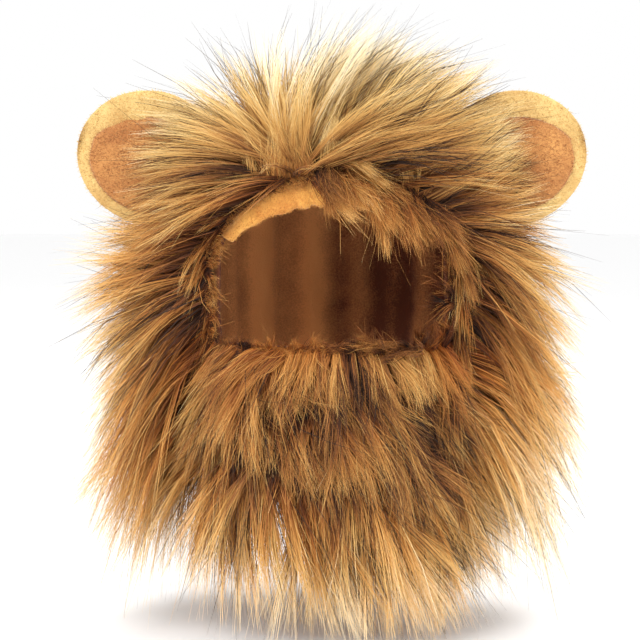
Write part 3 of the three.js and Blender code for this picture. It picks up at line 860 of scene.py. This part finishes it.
def earSlab(side, points):
    # 1 well inside the ear's outline and 0 outside it, and each point's height off the ear's cup
    base, along, across, front = earFrame(side)
    off = points - base
    reach = (off @ along + ears["root"]) / (ears["length"] + ears["root"])
    half = earHalfBreadth(np.clip(reach, 0, 1)) + 1.5
    breadth = off @ across
    outline = smooth((half - np.abs(breadth)) / 4) * smooth((1.03 - reach) / 0.08) * smooth(reach / 0.17)
    cup = mix(ears["cupNeck"], ears["cupTip"], np.clip(reach, 0, 1)) * np.clip(breadth / half, -1, 1) ** 2
    return outline, off @ front - cup


def towards(way):
    # keeps the faces of a mesh that look along a way
    return lambda points, normals: normals @ way > 0.1


earNap = napFinish("ear_nap", colour(200, 158, 92), colour(232, 206, 138))
patchNap = napFinish("ear_patch_nap", colour(160, 98, 56), colour(208, 154, 94))
for side, ear in ((-1, "left_ear"), (1, "right_ear")):
    outWay, frontWay = earFrame(side)[1], earFrame(side)[3]
    earMesh = tubeMesh(ear + "_plush", earBody(side))
    earPiece = addPiece(ear + "_plush", earMesh, earPlush, "ear", ear)
    napPiece(ear + "_nap", earMesh, ears["nap"], (51 + side, 53 + side), outWay, earNap, "ear", ear)
    patch = ear + "_patch"
    padMesh = patchMesh(patch + "_pad", side)
    padPiece = addPiece(patch + "_pad", padMesh, patchPlush, "ear_patch", patch)
    seeds = (55 + side, 57 + side)
    seen = towards(frontWay)
    napPiece(patch + "_nap", padMesh, ears["patchNap"], seeds, outWay, patchNap, "ear_patch", patch, seen)
print("stage: ears")

# Long fur: every strand belongs to a wisp and every wisp to a lock, and is drawn towards it

mane = dict(
    pile=58.0,
    whorl=(-17.0, 40.0),  # where the brow's hair parts
    rightRise=0.7,  # how much more the brow's hair points upwards on the right
    fallCrown=0.1,  # how far the hair falls for each step back, on the crown, cheeks, back and skirt
    fallCheek=0.4,
    fallBack=1.1,
    fallLow=1.5,
    # lift in degrees and length as a share of the pile, each as places and values: above the chin from the
    # opening's rim to the nape, and below it from the neck rim up
    liftAbove=([0.03, 0.19, 0.38, 0.6, 0.84], [54, 46, 40, 34, 28]),
    liftCheek=([0.04, 0.4, 0.8], [56, 62, 66]),
    liftNape=([0.04, 0.4, 0.8], [22, 28, 32]),
    lengthLow=([0.04, 0.4, 0.8], [0.98, 1.18, 1.12]),
    lengthCrown=0.86,
    stations=4,
    tipLift=0.66,  # share of the root's lift that is left at the tip
    sag=0.24,
    earClip=0.34,  # how much shorter the hair in front of the ears is
    earFront=(50.0, -16.0, 24.0),
    earFrontReach=26.0,
    strands=69500,
    lockSpread=dict(turn=0.2, lift=7, length=0.1),
    room=((-122.0, -84.5, -153.0), (122.0, 99.5, 109.5)),  # the space that the pile fills, corner to corner
)

# What a piece's strands are like, where the piece doesn't say otherwise
strandLook = dict(
    lockGap=13.0,  # millimetres between the middles of neighbouring locks
    wispGap=3.0,
    turn=0.24,  # how far wisps turn aside
    pull=1.0,  # how much a wisp is drawn to its lock
    gathered=(0.25, 0.95),  # how far apart the tips of a wisp stay, as a share of their roots' distance
    loose=0.7,  # how far strands stray from their wisp
    reach=1.0,
    twist=0.55,
    width=0.31,
    dark=0.0,
    rust=0.38,
    guards=0.05,  # share of the strands that have a black tip
    blackFrom=0.4,  # where along the strand the black starts
)
crownLook = dict(loose=0.6, gathered=(0.35, 1.05))
cheekLook = dict(loose=0.95, gathered=(0.5, 1.2), turn=0.36, pull=0.7)
napeLook = dict(cheekLook, width=0.5)


def alongSkin(ways, normals):
    # the part of each way that lies in the skin, one long
    return unit(ways - normals * dot(ways, normals))


def turned(comb, normals, amount):
    # each comb turned aside within the skin, by the tangent of the angle
    return unit(comb + np.cross(normals, comb) * amount[..., None])


def combAt(points, normals):
    # back from the face, over the crown and down the nape; over the brow it fans out from the whorl
    x, y, z = points[..., 0], points[..., 1], points[..., 2]
    fall = mane["fallCrown"] + mane["fallBack"] * smooth(y / 60) + mane["fallLow"] * smooth(-z / 86)
    fall = -fall - mane["fallCheek"] * smooth(0.6 - z / 60)
    swept = alongSkin(unit(stack(0.0, 1.0, fall)), normals)
    rise = mane["rightRise"] * np.maximum(0, x - 8) * smooth((z - 8) / 20)
    fan = alongSkin(unit(stack(x - mane["whorl"][0], 0.0, z - mane["whorl"][1] + rise)), normals)
    share = (smooth((z - 4) / 22) * smooth((20 - y) / 30))[..., None] * 0.85
    comb = unit(mix(swept, fan, share))
    wild = 1 + 0.7 * smooth((8 - z) / 30)  # the cheeks are more tousled than the crown
    return turned(comb, normals, 0.3 * ripple(points, 46, 61) + wild * 0.22 * ripple(points, 17, 62))


def skirtRise(points):
    # 0 at the neck rim, 1 level with the lower edge of the face opening
    rim = rimHeight(points[..., 1])
    return (points[..., 2] - rim) / (-hood["chinTop"] - rim)


def aboveChin(points):
    # 0 on the hood's skirt, 1 above the lower part of the face opening
    return smooth((points[..., 2] + 38) / 24)


def liftAt(points):
    # degrees that the pile stands off the skin: most round the face, least at the nape
    off = np.degrees(np.arccos(np.clip(-unit(points)[..., 1], -1, 1)))
    rim = mix(40.0, 63.0, np.sin(np.arctan2(points[..., 0], points[..., 2])) ** 2)
    above = np.interp(np.clip((off - rim) / (180 - rim), 0, 1), *mane["liftAbove"])
    rise = skirtRise(points)
    back = smooth((points[..., 1] + 25) / 60)
    below = mix(np.interp(rise, *mane["liftCheek"]), np.interp(rise, *mane["liftNape"]), back)
    return mix(below, above, aboveChin(points))


def lengthAt(points):
    # longest at the cheeks, a little shorter over the crown, and clipped in front of the ears
    high = points[..., 2] - 6
    mirrored = stack(np.abs(points[..., 0]), points[..., 1], points[..., 2])
    away = np.linalg.norm(mirrored - mane["earFront"], axis=-1)
    clipped = 1 - mane["earClip"] * np.exp(-((away / mane["earFrontReach"]) ** 2)) * smooth(high / 16)
    above = mix(1.0, mane["lengthCrown"], smooth(high / 24))
    below = np.interp(skirtRise(points), *mane["lengthLow"])
    return mane["pile"] * mix(below, above, aboveChin(points)) * clipped


def hoodField(points, normals):
    return combAt(points, normals), liftAt(points), lengthAt(points)


def nearest(points, centres):
    # index of the nearest centre of each point, worked out in blocks to keep the table small
    size = 4000
    found = np.zeros(len(points), int)
    squares = (centres**2).sum(1)
    for start in range(0, len(points), size):
        part = points[start : start + size]
        found[start : start + size] = (squares - 2 * part @ centres.T).argmin(1)
    return found


def guides(roots, normals, field, rng, spread):
    # control points of a quadratic curve: it rises off the skin at its lift, then leans over
    comb, lift, length = field(roots, normals)
    count = len(roots)
    comb = turned(comb, normals, rng.normal(0, spread["turn"], count))
    lift = np.radians(lift + rng.normal(0, spread["lift"], count))[:, None]
    length = (length * rng.uniform(1 - spread["length"], 1 + spread["length"], count))[:, None]
    tipLift = mane["tipLift"] * lift
    belly = roots + (comb * np.cos(lift) + normals * np.sin(lift)) * length * 0.5
    tip = roots + (comb * np.cos(tipLift) + normals * np.sin(tipLift)) * length * 0.97
    tip[:, 2] -= mane["sag"] * length[:, 0] * smooth(0.5 - roots[:, 2] / 62)
    return belly, tip


def density(roots):
    # strands for each square millimetre, from the distance to the nearest other root of a sample
    sample = roots[:: max(1, len(roots) // 400)]
    gaps = ((sample[:, None] - sample[None]) ** 2).sum(-1) + np.eye(len(sample)) * 1e9
    typical = np.sqrt(np.median(gaps.min(1)))
    return len(roots) / len(sample) * 0.27 / typical**2


def spaced(roots, gap):
    # how many of the evenly scattered roots make about one for each gap squared of skin
    area = len(roots) / max(1e-6, density(roots))
    return max(3, int(area / gap**2))


def withinRoom(paths, rng):
    # a strand that would leave the pile's room is drawn in towards its root
    low, high = np.array(mane["room"])
    root = paths[:, :1]
    step = np.where(np.abs(paths - root) < 1e-6, 1e-6, paths - root)
    share = np.where(step > 0, high - root, low - root) / step
    share = share.min(axis=(1, 2))
    share = np.where(share < 1, share * rng.uniform(0.84, 1, len(paths)), 1)
    return root + (paths - root) * share[:, None, None]


def strandPaths(roots, normals, field, seed, look):
    # a quadratic curve for each strand near its wisp's, and for each wisp near its lock's, with a slight wave
    rng = np.random.default_rng(seed)
    count = len(roots)
    locks = np.arange(spaced(roots, look["lockGap"]))
    wisps = np.arange(spaced(roots, look["wispGap"]))
    wispSpread = dict(turn=look["turn"], lift=10, length=0.2)
    lockBelly, lockTip = guides(roots[locks], normals[locks], field, rng, mane["lockSpread"])
    wispBelly, wispTip = guides(roots[wisps], normals[wisps], field, rng, wispSpread)
    home = nearest(roots[wisps], roots[locks])
    off = roots[wisps] - roots[locks][home]
    pull = rng.uniform(0.1, 0.5, (len(wisps), 1)) * look["pull"]
    wispBelly = mix(wispBelly, lockBelly[home] + off * 0.95, pull)
    wispTip = mix(wispTip, lockTip[home] + off * 0.75, pull)
    own = nearest(roots, roots[wisps])
    off = roots - roots[wisps][own]
    stray = look["loose"] * (0.5 + 3.0 * rng.uniform(size=(count, 1)) ** 4)
    belly = wispBelly[own] + off * 0.85 + rng.normal(0, 1, (count, 3)) * stray
    gathered = rng.uniform(*look["gathered"], (len(wisps), 1))[own]
    tip = wispTip[own] + off * gathered + rng.normal(0, 2.2, (count, 3)) * stray
    reach = look["reach"] * (1.08 - 0.64 * rng.uniform(0, 1, count) ** 1.5)
    t = (np.linspace(0, 1, mane["stations"]) * reach[:, None])[..., None]
    paths = (1 - t) ** 2 * roots[:, None] + 2 * t * (1 - t) * belly[:, None] + t**2 * tip[:, None]
    side = unit(np.cross(unit(tip - roots), normals))
    phase = rng.uniform(0, 2 * np.pi, len(wisps))[own][:, None, None]
    wave = np.sin(t * 4.2 + phase) * t * (1.3 + 0.7 * rng.normal(size=(count, 1, 1)))
    return withinRoom(paths + side[:, None] * wave, rng), own, home[own]


def clearEars(paths, roots):
    # strands that cross an ear's slab are pushed to the side of it that their root is on, up to their tip
    for side in (-1, 1):
        front = earFrame(side)[3]
        outline, height = earSlab(side, paths)
        start = earSlab(side, roots)[1][:, None]
        way = np.where(start > -1, 1.0, -1.0)
        room = 5.4 + 2.2 * (np.arange(len(paths))[:, None] * 0.618 % 1)
        push = np.maximum.accumulate(np.maximum(room - way * height, 0) * outline, axis=1)
        paths = paths + (way * push)[..., None] * front
    return paths


def strandShades(roots, paths, wisps, locks, rng, look):
    # what the fur's finish reads along each strand: its place, tone, rust and black tip
    count, stations = paths.shape[:2]
    t = np.linspace(0, 1, stations)
    high = smooth((paths[:, -1, 2] - 24) / 40)  # the crown is evener and less rusty than the rest
    lockTone = rng.normal(0, 1, locks.max() + 1)[locks] * 0.04
    wispTone = rng.normal(0, 1, wisps.max() + 1)[wisps] * 0.06
    varied = (lockTone + wispTone + rng.normal(0, 0.075, count)) * (1 - 0.5 * high)
    tone = toneAt(roots, paths[:, -1]) - look["dark"] + varied
    rusted = look["rust"] - 0.5 * high
    rust = np.clip(rusted + 0.22 * ripple(roots, 30, 71) + rng.normal(0, 0.12, count), 0, 1)
    guards = look["guards"] * (1 + 0.9 * ripple(roots, 26, 72))
    blackened = (rng.uniform(size=count) < guards)[:, None]
    # the lower edge of the opening has hair of one tone from root to tip
    brink = smooth((roots[:, 2] + 46) / 9) * smooth((-20 - roots[:, 2]) / 6) * (np.abs(azimuthOf(roots)) < 1)
    even = np.maximum(0.5 * high, 0.76 * brink)
    return {
        "along": mix(t, furLook["middle"], even[:, None]),
        "tone": np.broadcast_to(tone[:, None], (count, stations)),
        "rust": rust[:, None] * (1.15 - 0.65 * t),
        "black": blackened * smooth((t - look["blackFrom"]) / 0.3) * 0.93,
    }


def furMesh(name, roots, normals, field, seed, look):
    # ribbons along the strands, twisted about them at random, narrowing to the tip and wider low down
    paths, wisps, locks = strandPaths(roots, normals, field, seed, look)
    paths = clearEars(paths, roots)
    rng = np.random.default_rng(seed + 1)
    count, stations = paths.shape[:2]
    tangent = unit(np.gradient(paths, axis=1))
    twist = rng.normal(0, look["twist"], (count, 1, 1))
    side = unit(np.cross(tangent, normals[:, None] + 0.001))
    side = side * np.cos(twist) + np.cross(side, tangent) * np.sin(twist)
    low = smooth((-60 - roots[:, 2]) / 20)
    cheek = smooth((np.abs(roots[:, 0]) - 40) / 15) * smooth((20 - roots[:, 2]) / 16)
    wider = (1 + 0.4 * low + 0.22 * cheek)[:, None, None]
    width = look["width"] * rng.uniform(0.75, 1.25, (count, 1, 1)) * wider
    t = np.linspace(0, 1, stations)[:, None]
    across = side * width * (0.5 - 0.44 * t**1.4)
    return ribbonMesh(name, paths, across, strandShades(roots, paths, wisps, locks, rng, look))


def furPiece(name, roots, normals, field, seed, look, node="mane_fur"):
    mesh = furMesh(name, roots, normals, field, seed, dict(strandLook, **look))
    addPiece(name, mesh, manePile, "mane", node)
    print("stage:", name, len(roots), "strands")


# Lighter and darker places of the mane, seen from in front: x, height, radius, how much lighter
toneLevel = 0.4
toneSpots = [
    (-4, 80, 36, 0.3),
    (-34, 48, 30, 0.04),
    (10, 50, 18, -0.05),
    (34, 46, 20, -0.03),
    (-17, 36, 11, -0.08),
    (46, 27, 14, -0.06),
    (-67, 27, 8, -0.16),
    (-50, 38, 7, -0.14),
    (-73, -1, 8, -0.15),
    (-100, -30, 24, 0.12),
    (104, -30, 26, 0.12),
    (-8, -42, 26, 0.05),
    (0, -84, 28, -0.1),
    (-4, -114, 36, 0.2),
    (0, -64, 62, -0.06),
    (-72, -70, 26, 0.0),
    (-70, -108, 24, 0.07),
    (84, -78, 26, 0.1),
    (-38, -112, 24, 0.06),
    (66, -100, 30, 0.12),
]

# Creases and gaps where the flaps bend and overlap: both ends (x, height), half width, and how dark the
# painted shadow in it is
creases = [
    ((-27, -57), (-5, -54), 2.8, 0.6),
    ((-42, -63), (-24, -76), 2.6, 0.5),
    ((-24, -76), (-2, -84), 3.2, 0.56),
    ((-2, -88), (6, -100), 3.0, 0.42),
    ((-4, -78), (16, -78), 2.2, 0.4),
    ((16, -68), (28, -84), 3.0, 0.46),
    ((8, -37), (30, -46), 2.2, 0.4),
    ((31, -46), (34, -78), 4.2, 0.7),
    ((-60, -40), (-56, -58), 2.4, 0.3),
]


def creaseAt(points):
    # how deep in a crease each point lies, from its distance to each crease's line seen from in front; the
    # same value is the painted shadow's darkness
    flat = points[..., [0, 2]]
    deep = np.zeros(flat.shape[:-1])
    for start, end, width, dark in creases:
        start, line = np.array(start, float), np.subtract(end, start).astype(float)
        along = np.clip(((flat - start) @ line) / (line @ line), 0, 1)
        away = np.linalg.norm(flat - start - along[..., None] * line, axis=-1)
        deep = np.maximum(deep, dark * np.exp(-((away / width) ** 2)))
    return deep


def aboveEdge(points):
    # 0 along the lower edge of the flaps, where the hair gets no painted crease shadow and stays long, and 1
    # above it
    return smooth((points[..., 2] + 88) / 9)


def creaseReach(points, comb):
    # how far a strand runs, seen from in front, before its straight way meets a crease
    way = unit(comb[:, [0, 2]])
    reach = np.full(len(points), 99.0)
    for start, end, *_ in creases:
        line, gap = np.subtract(end, start).astype(float), np.array(start, float) - points[:, [0, 2]]
        across = way[:, 0] * line[1] - way[:, 1] * line[0]
        across = np.where(np.abs(across) < 1e-6, 1e-6, across)
        run = (gap[:, 0] * line[1] - gap[:, 1] * line[0]) / across
        place = (gap[:, 0] * way[:, 1] - gap[:, 1] * way[:, 0]) / across
        reach = np.where((run > 0) & (place > 0) & (place < 1), np.minimum(reach, run), reach)
    return reach


def toneAt(roots, tips):
    # tone by where the strand is, halfway between its root and its tip
    middle = roots * 0.45 + tips * 0.55
    tone = toneLevel + 0 * middle[:, 0]
    for x, z, radius, amount in toneSpots:
        away = (middle[:, 0] - x) ** 2 + (middle[:, 2] - z) ** 2
        tone += amount * np.exp(-away / radius**2) * smooth((40 - middle[:, 1]) / 60)
    tone += 0.05 * ripple(middle, 30, 81) + 0.04 * ripple(middle, 12, 82)
    outline = np.hypot(tips[:, 0] / 112, (tips[:, 2] + 28) / 124)
    tone += 0.25 * smooth((outline - 0.8) / 0.24)
    # painted shade: darker hollows among the locks, inside the outline and less on the crown
    pocketShade = smooth((ripple(roots, 15, 83) - 0.7) / 0.6) * smooth((0.92 - outline) / 0.2)
    tone -= 0.26 * pocketShade * (1 - 0.7 * smooth((roots[:, 2] - 34) / 16))
    # painted shadow in the flaps' creases, on the front and above the flaps' lower edge
    return tone - creaseAt(roots * 0.85 + tips * 0.15) * (roots[:, 1] < 0) * aboveEdge(roots)


def scattered(count):
    # an even scatter over the unit square, each step one over a power of the plastic number
    index = np.arange(count) + 0.5
    return (index * 0.7548776662) % 1, (index * 0.5698402910) % 1


def hoodRoots(count, seed):
    # an even scatter, thinned to the wanted density, off the opening and the ears and above the neck rim
    rng = np.random.default_rng(seed)
    many = int(count * 5.2)
    first, second = scattered(many)
    height = 1 - 2 * first
    around = 2 * np.pi * second
    level = np.sqrt(1 - height**2)
    points = skinAlong(stack(np.sin(around) * level, np.cos(around) * level, height))
    normals = skinNormal(points)
    stretch = (points**2).sum(1) / np.maximum(0.2, (unit(points) * normals).sum(1))
    dense = mix(1.0, 0.3, smooth((points[:, 1] + 10) / 50)) * mix(0.66, 1.0, smooth(1 - points[:, 2] / 60))
    dense = dense * (1 + 0.5 * smooth((-points[:, 2] - 46) / 26))
    azimuth = azimuthOf(points)
    closed = (np.abs(azimuth) > math.radians(hood["seam"] + 1.5)) | (points[:, 2] > archTop(azimuth) + 1.0)
    keep = closed & (points[:, 2] > rimHeight(points[:, 1]) + 1)
    for side in (-1, 1):
        outline, tall = earSlab(side, points)
        keep &= (outline < 0.4) | (np.abs(tall) > 4.5)
    keep &= rng.uniform(size=many) < stretch * dense / 5600
    return points[keep][:count], normals[keep][:count]


roots, normals = hoodRoots(mane["strands"], 91)
print("strands on the hood:", len(roots))
low = roots[:, 2] <= 16
ahead = roots[:, 1] < 22
left = roots[:, 0] < 0
zones = (
    ("mane_crown_fur", ~low, crownLook),
    ("mane_left_fur", low & left & ahead, cheekLook),
    ("mane_right_fur", low & ~left & ahead, cheekLook),
    ("mane_nape_fur", low & ~ahead, napeLook),
)
for number, (name, inZone, look) in enumerate(zones):
    furPiece(name, roots[inZone], normals[inZone], hoodField, 100 + 10 * number, look)

beard = dict(
    fan=0.7,  # how widely the hair fans out, and the way it leans to, in degrees
    lean=40.0,
    strands=(21500, 15500),
    lift=([0.05, 0.5, 0.94], [48, 48, 30]),  # places down the flap, and degrees or shares of the pile
    length=([0.05, 0.35, 0.66, 0.92], [0.42, 0.48, 0.62, 0.8]),
    look=dict(pull=0.3, gathered=(0.6, 1.25), loose=1.1, turn=0.4, rust=0.5),
)


def flapRoots(side, count):
    # even over the flap, with the part of the lower flap that the upper one covers left out
    flap = flaps[side]
    across, down = scattered(count * 3)
    azimuth = np.radians(mix(flap["first"] + 0.5, flap["last"] - 0.5, across))
    share = 0.01 + 0.98 * down**0.58
    if side == "right":
        corner = (azimuth > math.radians(22)) & (share < 0.3)
        shown = (azimuth > math.radians(flaps["left"]["last"] - 3)) | (share > 0.86) | corner
        azimuth, share = azimuth[shown], share[shown]
    points = flapPoint(flap, azimuth, share)
    normals = skinNormal(points, flapStand(flap, azimuth))
    return points[:count], normals[:count]


def flapField(points, normals):
    # fanned out and down from a place left of the middle
    # short and low by the left flap's free edge and in the creases
    azimuth = azimuthOf(points)
    comb = stack(beard["fan"] * np.sin(azimuth + math.radians(beard["lean"])), 0.0, -1.0)
    comb = alongSkin(comb, normals)
    stands = skinLevel(points) > 1.06
    edge = smooth((np.degrees(azimuth) - 20) / 14) * stands
    deep = creaseAt(points)
    calm = np.clip(edge * 0.5 + deep * 1.6, 0, 0.75)
    drop = np.clip((-hood["chinTop"] - points[:, 2]) / 55, 0, 1)
    turn = (0.34 * ripple(points, 26, 63) + 0.34 * ripple(points, 11, 64)) * (1 - 0.6 * drop)
    comb = turned(comb, normals, turn)
    lift = np.interp(drop, *beard["lift"])
    length = mane["pile"] * np.interp(drop, *beard["length"])
    length = length * (1 - 0.4 * calm) * (1 - 0.6 * smooth(deep / 0.4) * aboveEdge(points))
    length = np.minimum(length, np.maximum(5, creaseReach(points, comb) * 1.2))
    return comb, lift * (1 - 0.5 * calm), length


for number, side in enumerate(("left", "right")):
    flapRoot, flapNormal = flapRoots(side, beard["strands"][number])
    seed = 150 + 10 * number
    furPiece(side + "_flap_pile", flapRoot, flapNormal, flapField, seed, beard["look"], side + "_flap_fur")

# Hair along the rim of the face opening: a fringe that falls over the arch on the right,
# short hair that leans over the rim, and tufts that stand out round it

rim = dict(
    fringe=dict(
        first=-13.0,  # degrees from straight ahead
        last=57.0,
        strands=9500,
        length=33.0,
        width=0.3,
        rust=0.6,
        dark=0.16,
        gathered=(0.3, 0.9),
    ),
    lash=dict(
        strands=8500,
        length=9.5,
        width=0.24,
        rust=0.7,
        dark=0.1,
        wispGap=2.2,
        gathered=(0.5, 1.2),
        pull=0.3,
        loose=0.4,
    ),
    tufts=dict(strands=6500, length=21.0, width=0.3, rust=0.5, dark=-0.04),
)


def fringeRoots(count, seed):
    rng = np.random.default_rng(seed)
    azimuth = np.radians(mix(rim["fringe"]["first"], rim["fringe"]["last"], rng.uniform(size=count)))
    points = skinPoint(azimuth, archTop(azimuth) + 0.3 + 9 * rng.uniform(size=count) ** 1.3)
    return points, skinNormal(points)


def fringeField(points, normals):
    # along the arch to the right, then more and more straight down over it
    share = smooth((points[:, 0] + 8) / 38)
    comb = alongSkin(stack(mix(0.6, 0.1, share), 0.1 * share, -1.0), normals)
    comb = turned(comb, normals, 0.3 * ripple(points, 22, 65))
    length = rim["fringe"]["length"] * (1 + 0.25 * ripple(points, 20, 66)) * mix(1.0, 0.8, share)
    return comb, 26 - 12 * share, length


def rimRoots(count, seed):
    # down both sides of the opening, along the upper edge of the flaps, and along the arch
    rng = np.random.default_rng(seed)
    place = rng.uniform(size=count)
    off = rng.uniform(size=count) ** 1.6
    seam = math.radians(hood["seam"] + 0.4)
    lower, arched = place < 0.48, place > 0.74
    onFlaps = mix(-seam, seam, (place / 0.48) ** 0.75)
    onArch = mix(-seam, seam, (place - 0.74) / 0.26)
    onSides = np.where(place < 0.61, -1, 1) * (seam + 0.1 * off)
    azimuth = np.where(lower, onFlaps, np.where(arched, onArch, onSides))
    height = np.where(lower, -hood["chinTop"] - 5 * off, mix(-36.0, 14.0, rng.uniform(size=count)))
    height = np.where(arched, archTop(azimuth * 0.99) + 0.2 + 4 * off, height)
    onLeft = lower & (azimuth < math.radians(flaps["left"]["last"]))
    stand = np.where(onLeft, flapStand(flaps["left"], azimuth), 0)
    points = skinPoint(azimuth, height, stand)
    return points, skinNormal(points, stand)


def rimWay(points):
    # outwards from the middle of the opening, and 1 along its sides but 0 at its lower edge and arch
    way = unit(stack(points[:, 0], 0.0, (points[:, 2] + 8) * 1.6))
    return way, smooth((np.abs(points[:, 0]) - 38) / 10)


def rimField(points, normals, way, lift, length, seed):
    comb = alongSkin(way, normals)
    comb = turned(comb, normals, 0.5 * ripple(points, 18, seed) + 0.3 * ripple(points, 6, seed + 3))
    return comb, lift + 8 * ripple(points, 14, seed + 1), length * (1 + 0.14 * ripple(points, 16, seed + 2))


def lashField(points, normals):
    # inwards over the rim, longest at the lower right, shortest over the hem
    way, side = rimWay(points)
    lowRight = smooth((points[:, 0] + 4) / 40) * smooth((4 - points[:, 2]) / 24)
    over = smooth((points[:, 2] - 8) / 12)
    below = smooth((-24 - points[:, 2]) / 5)
    length = rim["lash"]["length"] * (1 + 2.0 * lowRight) * (1 - 0.45 * over) * (1 - 0.3 * below)
    return rimField(points, normals, -way + (0, 0, 0.2), mix(50, 8, side), length, 191)


def tuftField(points, normals):
    # away from the opening above and below it, and mostly down along its sides
    way, side = rimWay(points)
    down = stack(0.5 * np.sign(points[:, 0]), 0.0, -1.0)
    comb = mix(way - (0, 0, 0.15), down, side[:, None])
    return rimField(points, normals, comb, mix(56, 34, side), rim["tufts"]["length"], 67)


for name, rooted, field, look, seed in (
    ("mane_fringe", fringeRoots, fringeField, rim["fringe"], 171),
    ("mane_rim_hair", rimRoots, lashField, rim["lash"], 173),
    ("mane_rim_tufts", rimRoots, tuftField, rim["tufts"], 175),
):
    edgeRoots, edgeNormals = rooted(look["strands"], seed)
    furPiece(name, edgeRoots, edgeNormals, field, seed + 1, look)

# Guard hairs: few, longer, thin and black-tipped, loose from the wisps
# On the crown's right are bunches of thicker ones

guard = dict(
    flapStrands=1200,
    width=0.36,
    guards=9.0,
    rust=0.3,
    dark=0.2,
    loose=1.2,
    reach=1.12,
    twist=0.9,
    blackFrom=0.2,
    gathered=(0.8, 1.3),
    pull=0.3,
    turn=0.5,
)
streak = dict(guard, width=0.66, loose=0.5, reach=1.04, gathered=(0.2, 0.8), turn=0.24)


def raised(field):
    # the same field with the hair standing a few degrees more
    def higher(points, normals):
        comb, lift, length = field(points, normals)
        return comb, lift + 5, length

    return higher


guardRoots, guardNormals = hoodRoots(10500, 181)
bunched = ripple(guardRoots, 30, 183) > 0.1
furPiece("mane_guard_hairs", guardRoots[bunched], guardNormals[bunched], raised(hoodField), 182, guard)
streakRoots, streakNormals = hoodRoots(30000, 187)
across, ahead, up = streakRoots[:, 0], -streakRoots[:, 1], streakRoots[:, 2]
crownRight = smooth((across + 6) / 24) * smooth((up - 22) / 14) * smooth((26 + ahead) / 14)
bunched = (crownRight > 0.3) & (ripple(streakRoots, 9, 184) > 0.8)
furPiece("mane_black_streaks", streakRoots[bunched], streakNormals[bunched], raised(hoodField), 188, streak)
for side in ("left", "right"):
    flapRoot, flapNormal = flapRoots(side, guard["flapStrands"])
    name, node = side + "_flap_guard_hairs", side + "_flap_fur"
    furPiece(name, flapRoot, flapNormal, raised(flapField), 190 + len(side), guard, node)
print("stage: guard hairs")

# Studio: plain pale floor, soft light, and the camera at the photograph's angle

studio = dict(aim=(-0.005, -0.05, -0.078), distance=0.75, elevation=5.0, view=0.256, sensor=36.0)

floorHeight = min(cadBox[0].z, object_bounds()[0].z) - 0.002
floorMesh = bpy.data.meshes.new("floor")
floorMesh.from_pydata([(x, y, floorHeight) for y in (-4, 4) for x in (-4, 4)], [], [(0, 1, 3, 2)])
floor = bpy.data.objects.new("floor", floorMesh)
bpy.context.scene.collection.objects.link(floor)
paper = Finish("floor_paper", roughness=0.9)
paper.set("Base Color", (0.96, 0.96, 0.96, 1))
floorMesh.materials.append(paper.material)

lens = bpy.data.cameras.new("camera")
lens.lens = studio["sensor"] * studio["distance"] / studio["view"]
lens.sensor_width = studio["sensor"]
lens.clip_start = 0.01
camera = bpy.data.objects.new("camera", lens)
bpy.context.scene.collection.objects.link(camera)
tilt = math.radians(studio["elevation"])
aim = Vector(studio["aim"])
camera.location = aim + Vector((0, -math.cos(tilt), math.sin(tilt))) * studio["distance"]
camera.rotation_euler = (math.pi / 2 - tilt, 0, 0)
bpy.context.scene.camera = camera


def softbox(name, place, size, power):
    light = bpy.data.lights.new(name, "AREA")
    light.size = size
    light.energy = power
    lamp = bpy.data.objects.new(name, light)
    bpy.context.scene.collection.objects.link(lamp)
    lamp.location = place
    lamp.rotation_euler = (aim - Vector(place)).to_track_quat("-Z", "Y").to_euler()


softbox("keyLight", (-0.5, -0.9, 0.75), 0.7, 11.0)
softbox("fillLight", (0.8, -0.8, 0.2), 0.9, 4.0)
softbox("rimLight", (0.2, 0.6, 0.8), 0.6, 7.0)

world = bpy.data.worlds.new("studio")
bpy.context.scene.world = world
world.use_nodes = True
world.node_tree.nodes["Background"].inputs["Color"].default_value = (1, 1, 1, 1)
world.node_tree.nodes["Background"].inputs["Strength"].default_value = 1.0
bpy.context.scene.view_settings.view_transform = "Standard"
print("stage: studio")
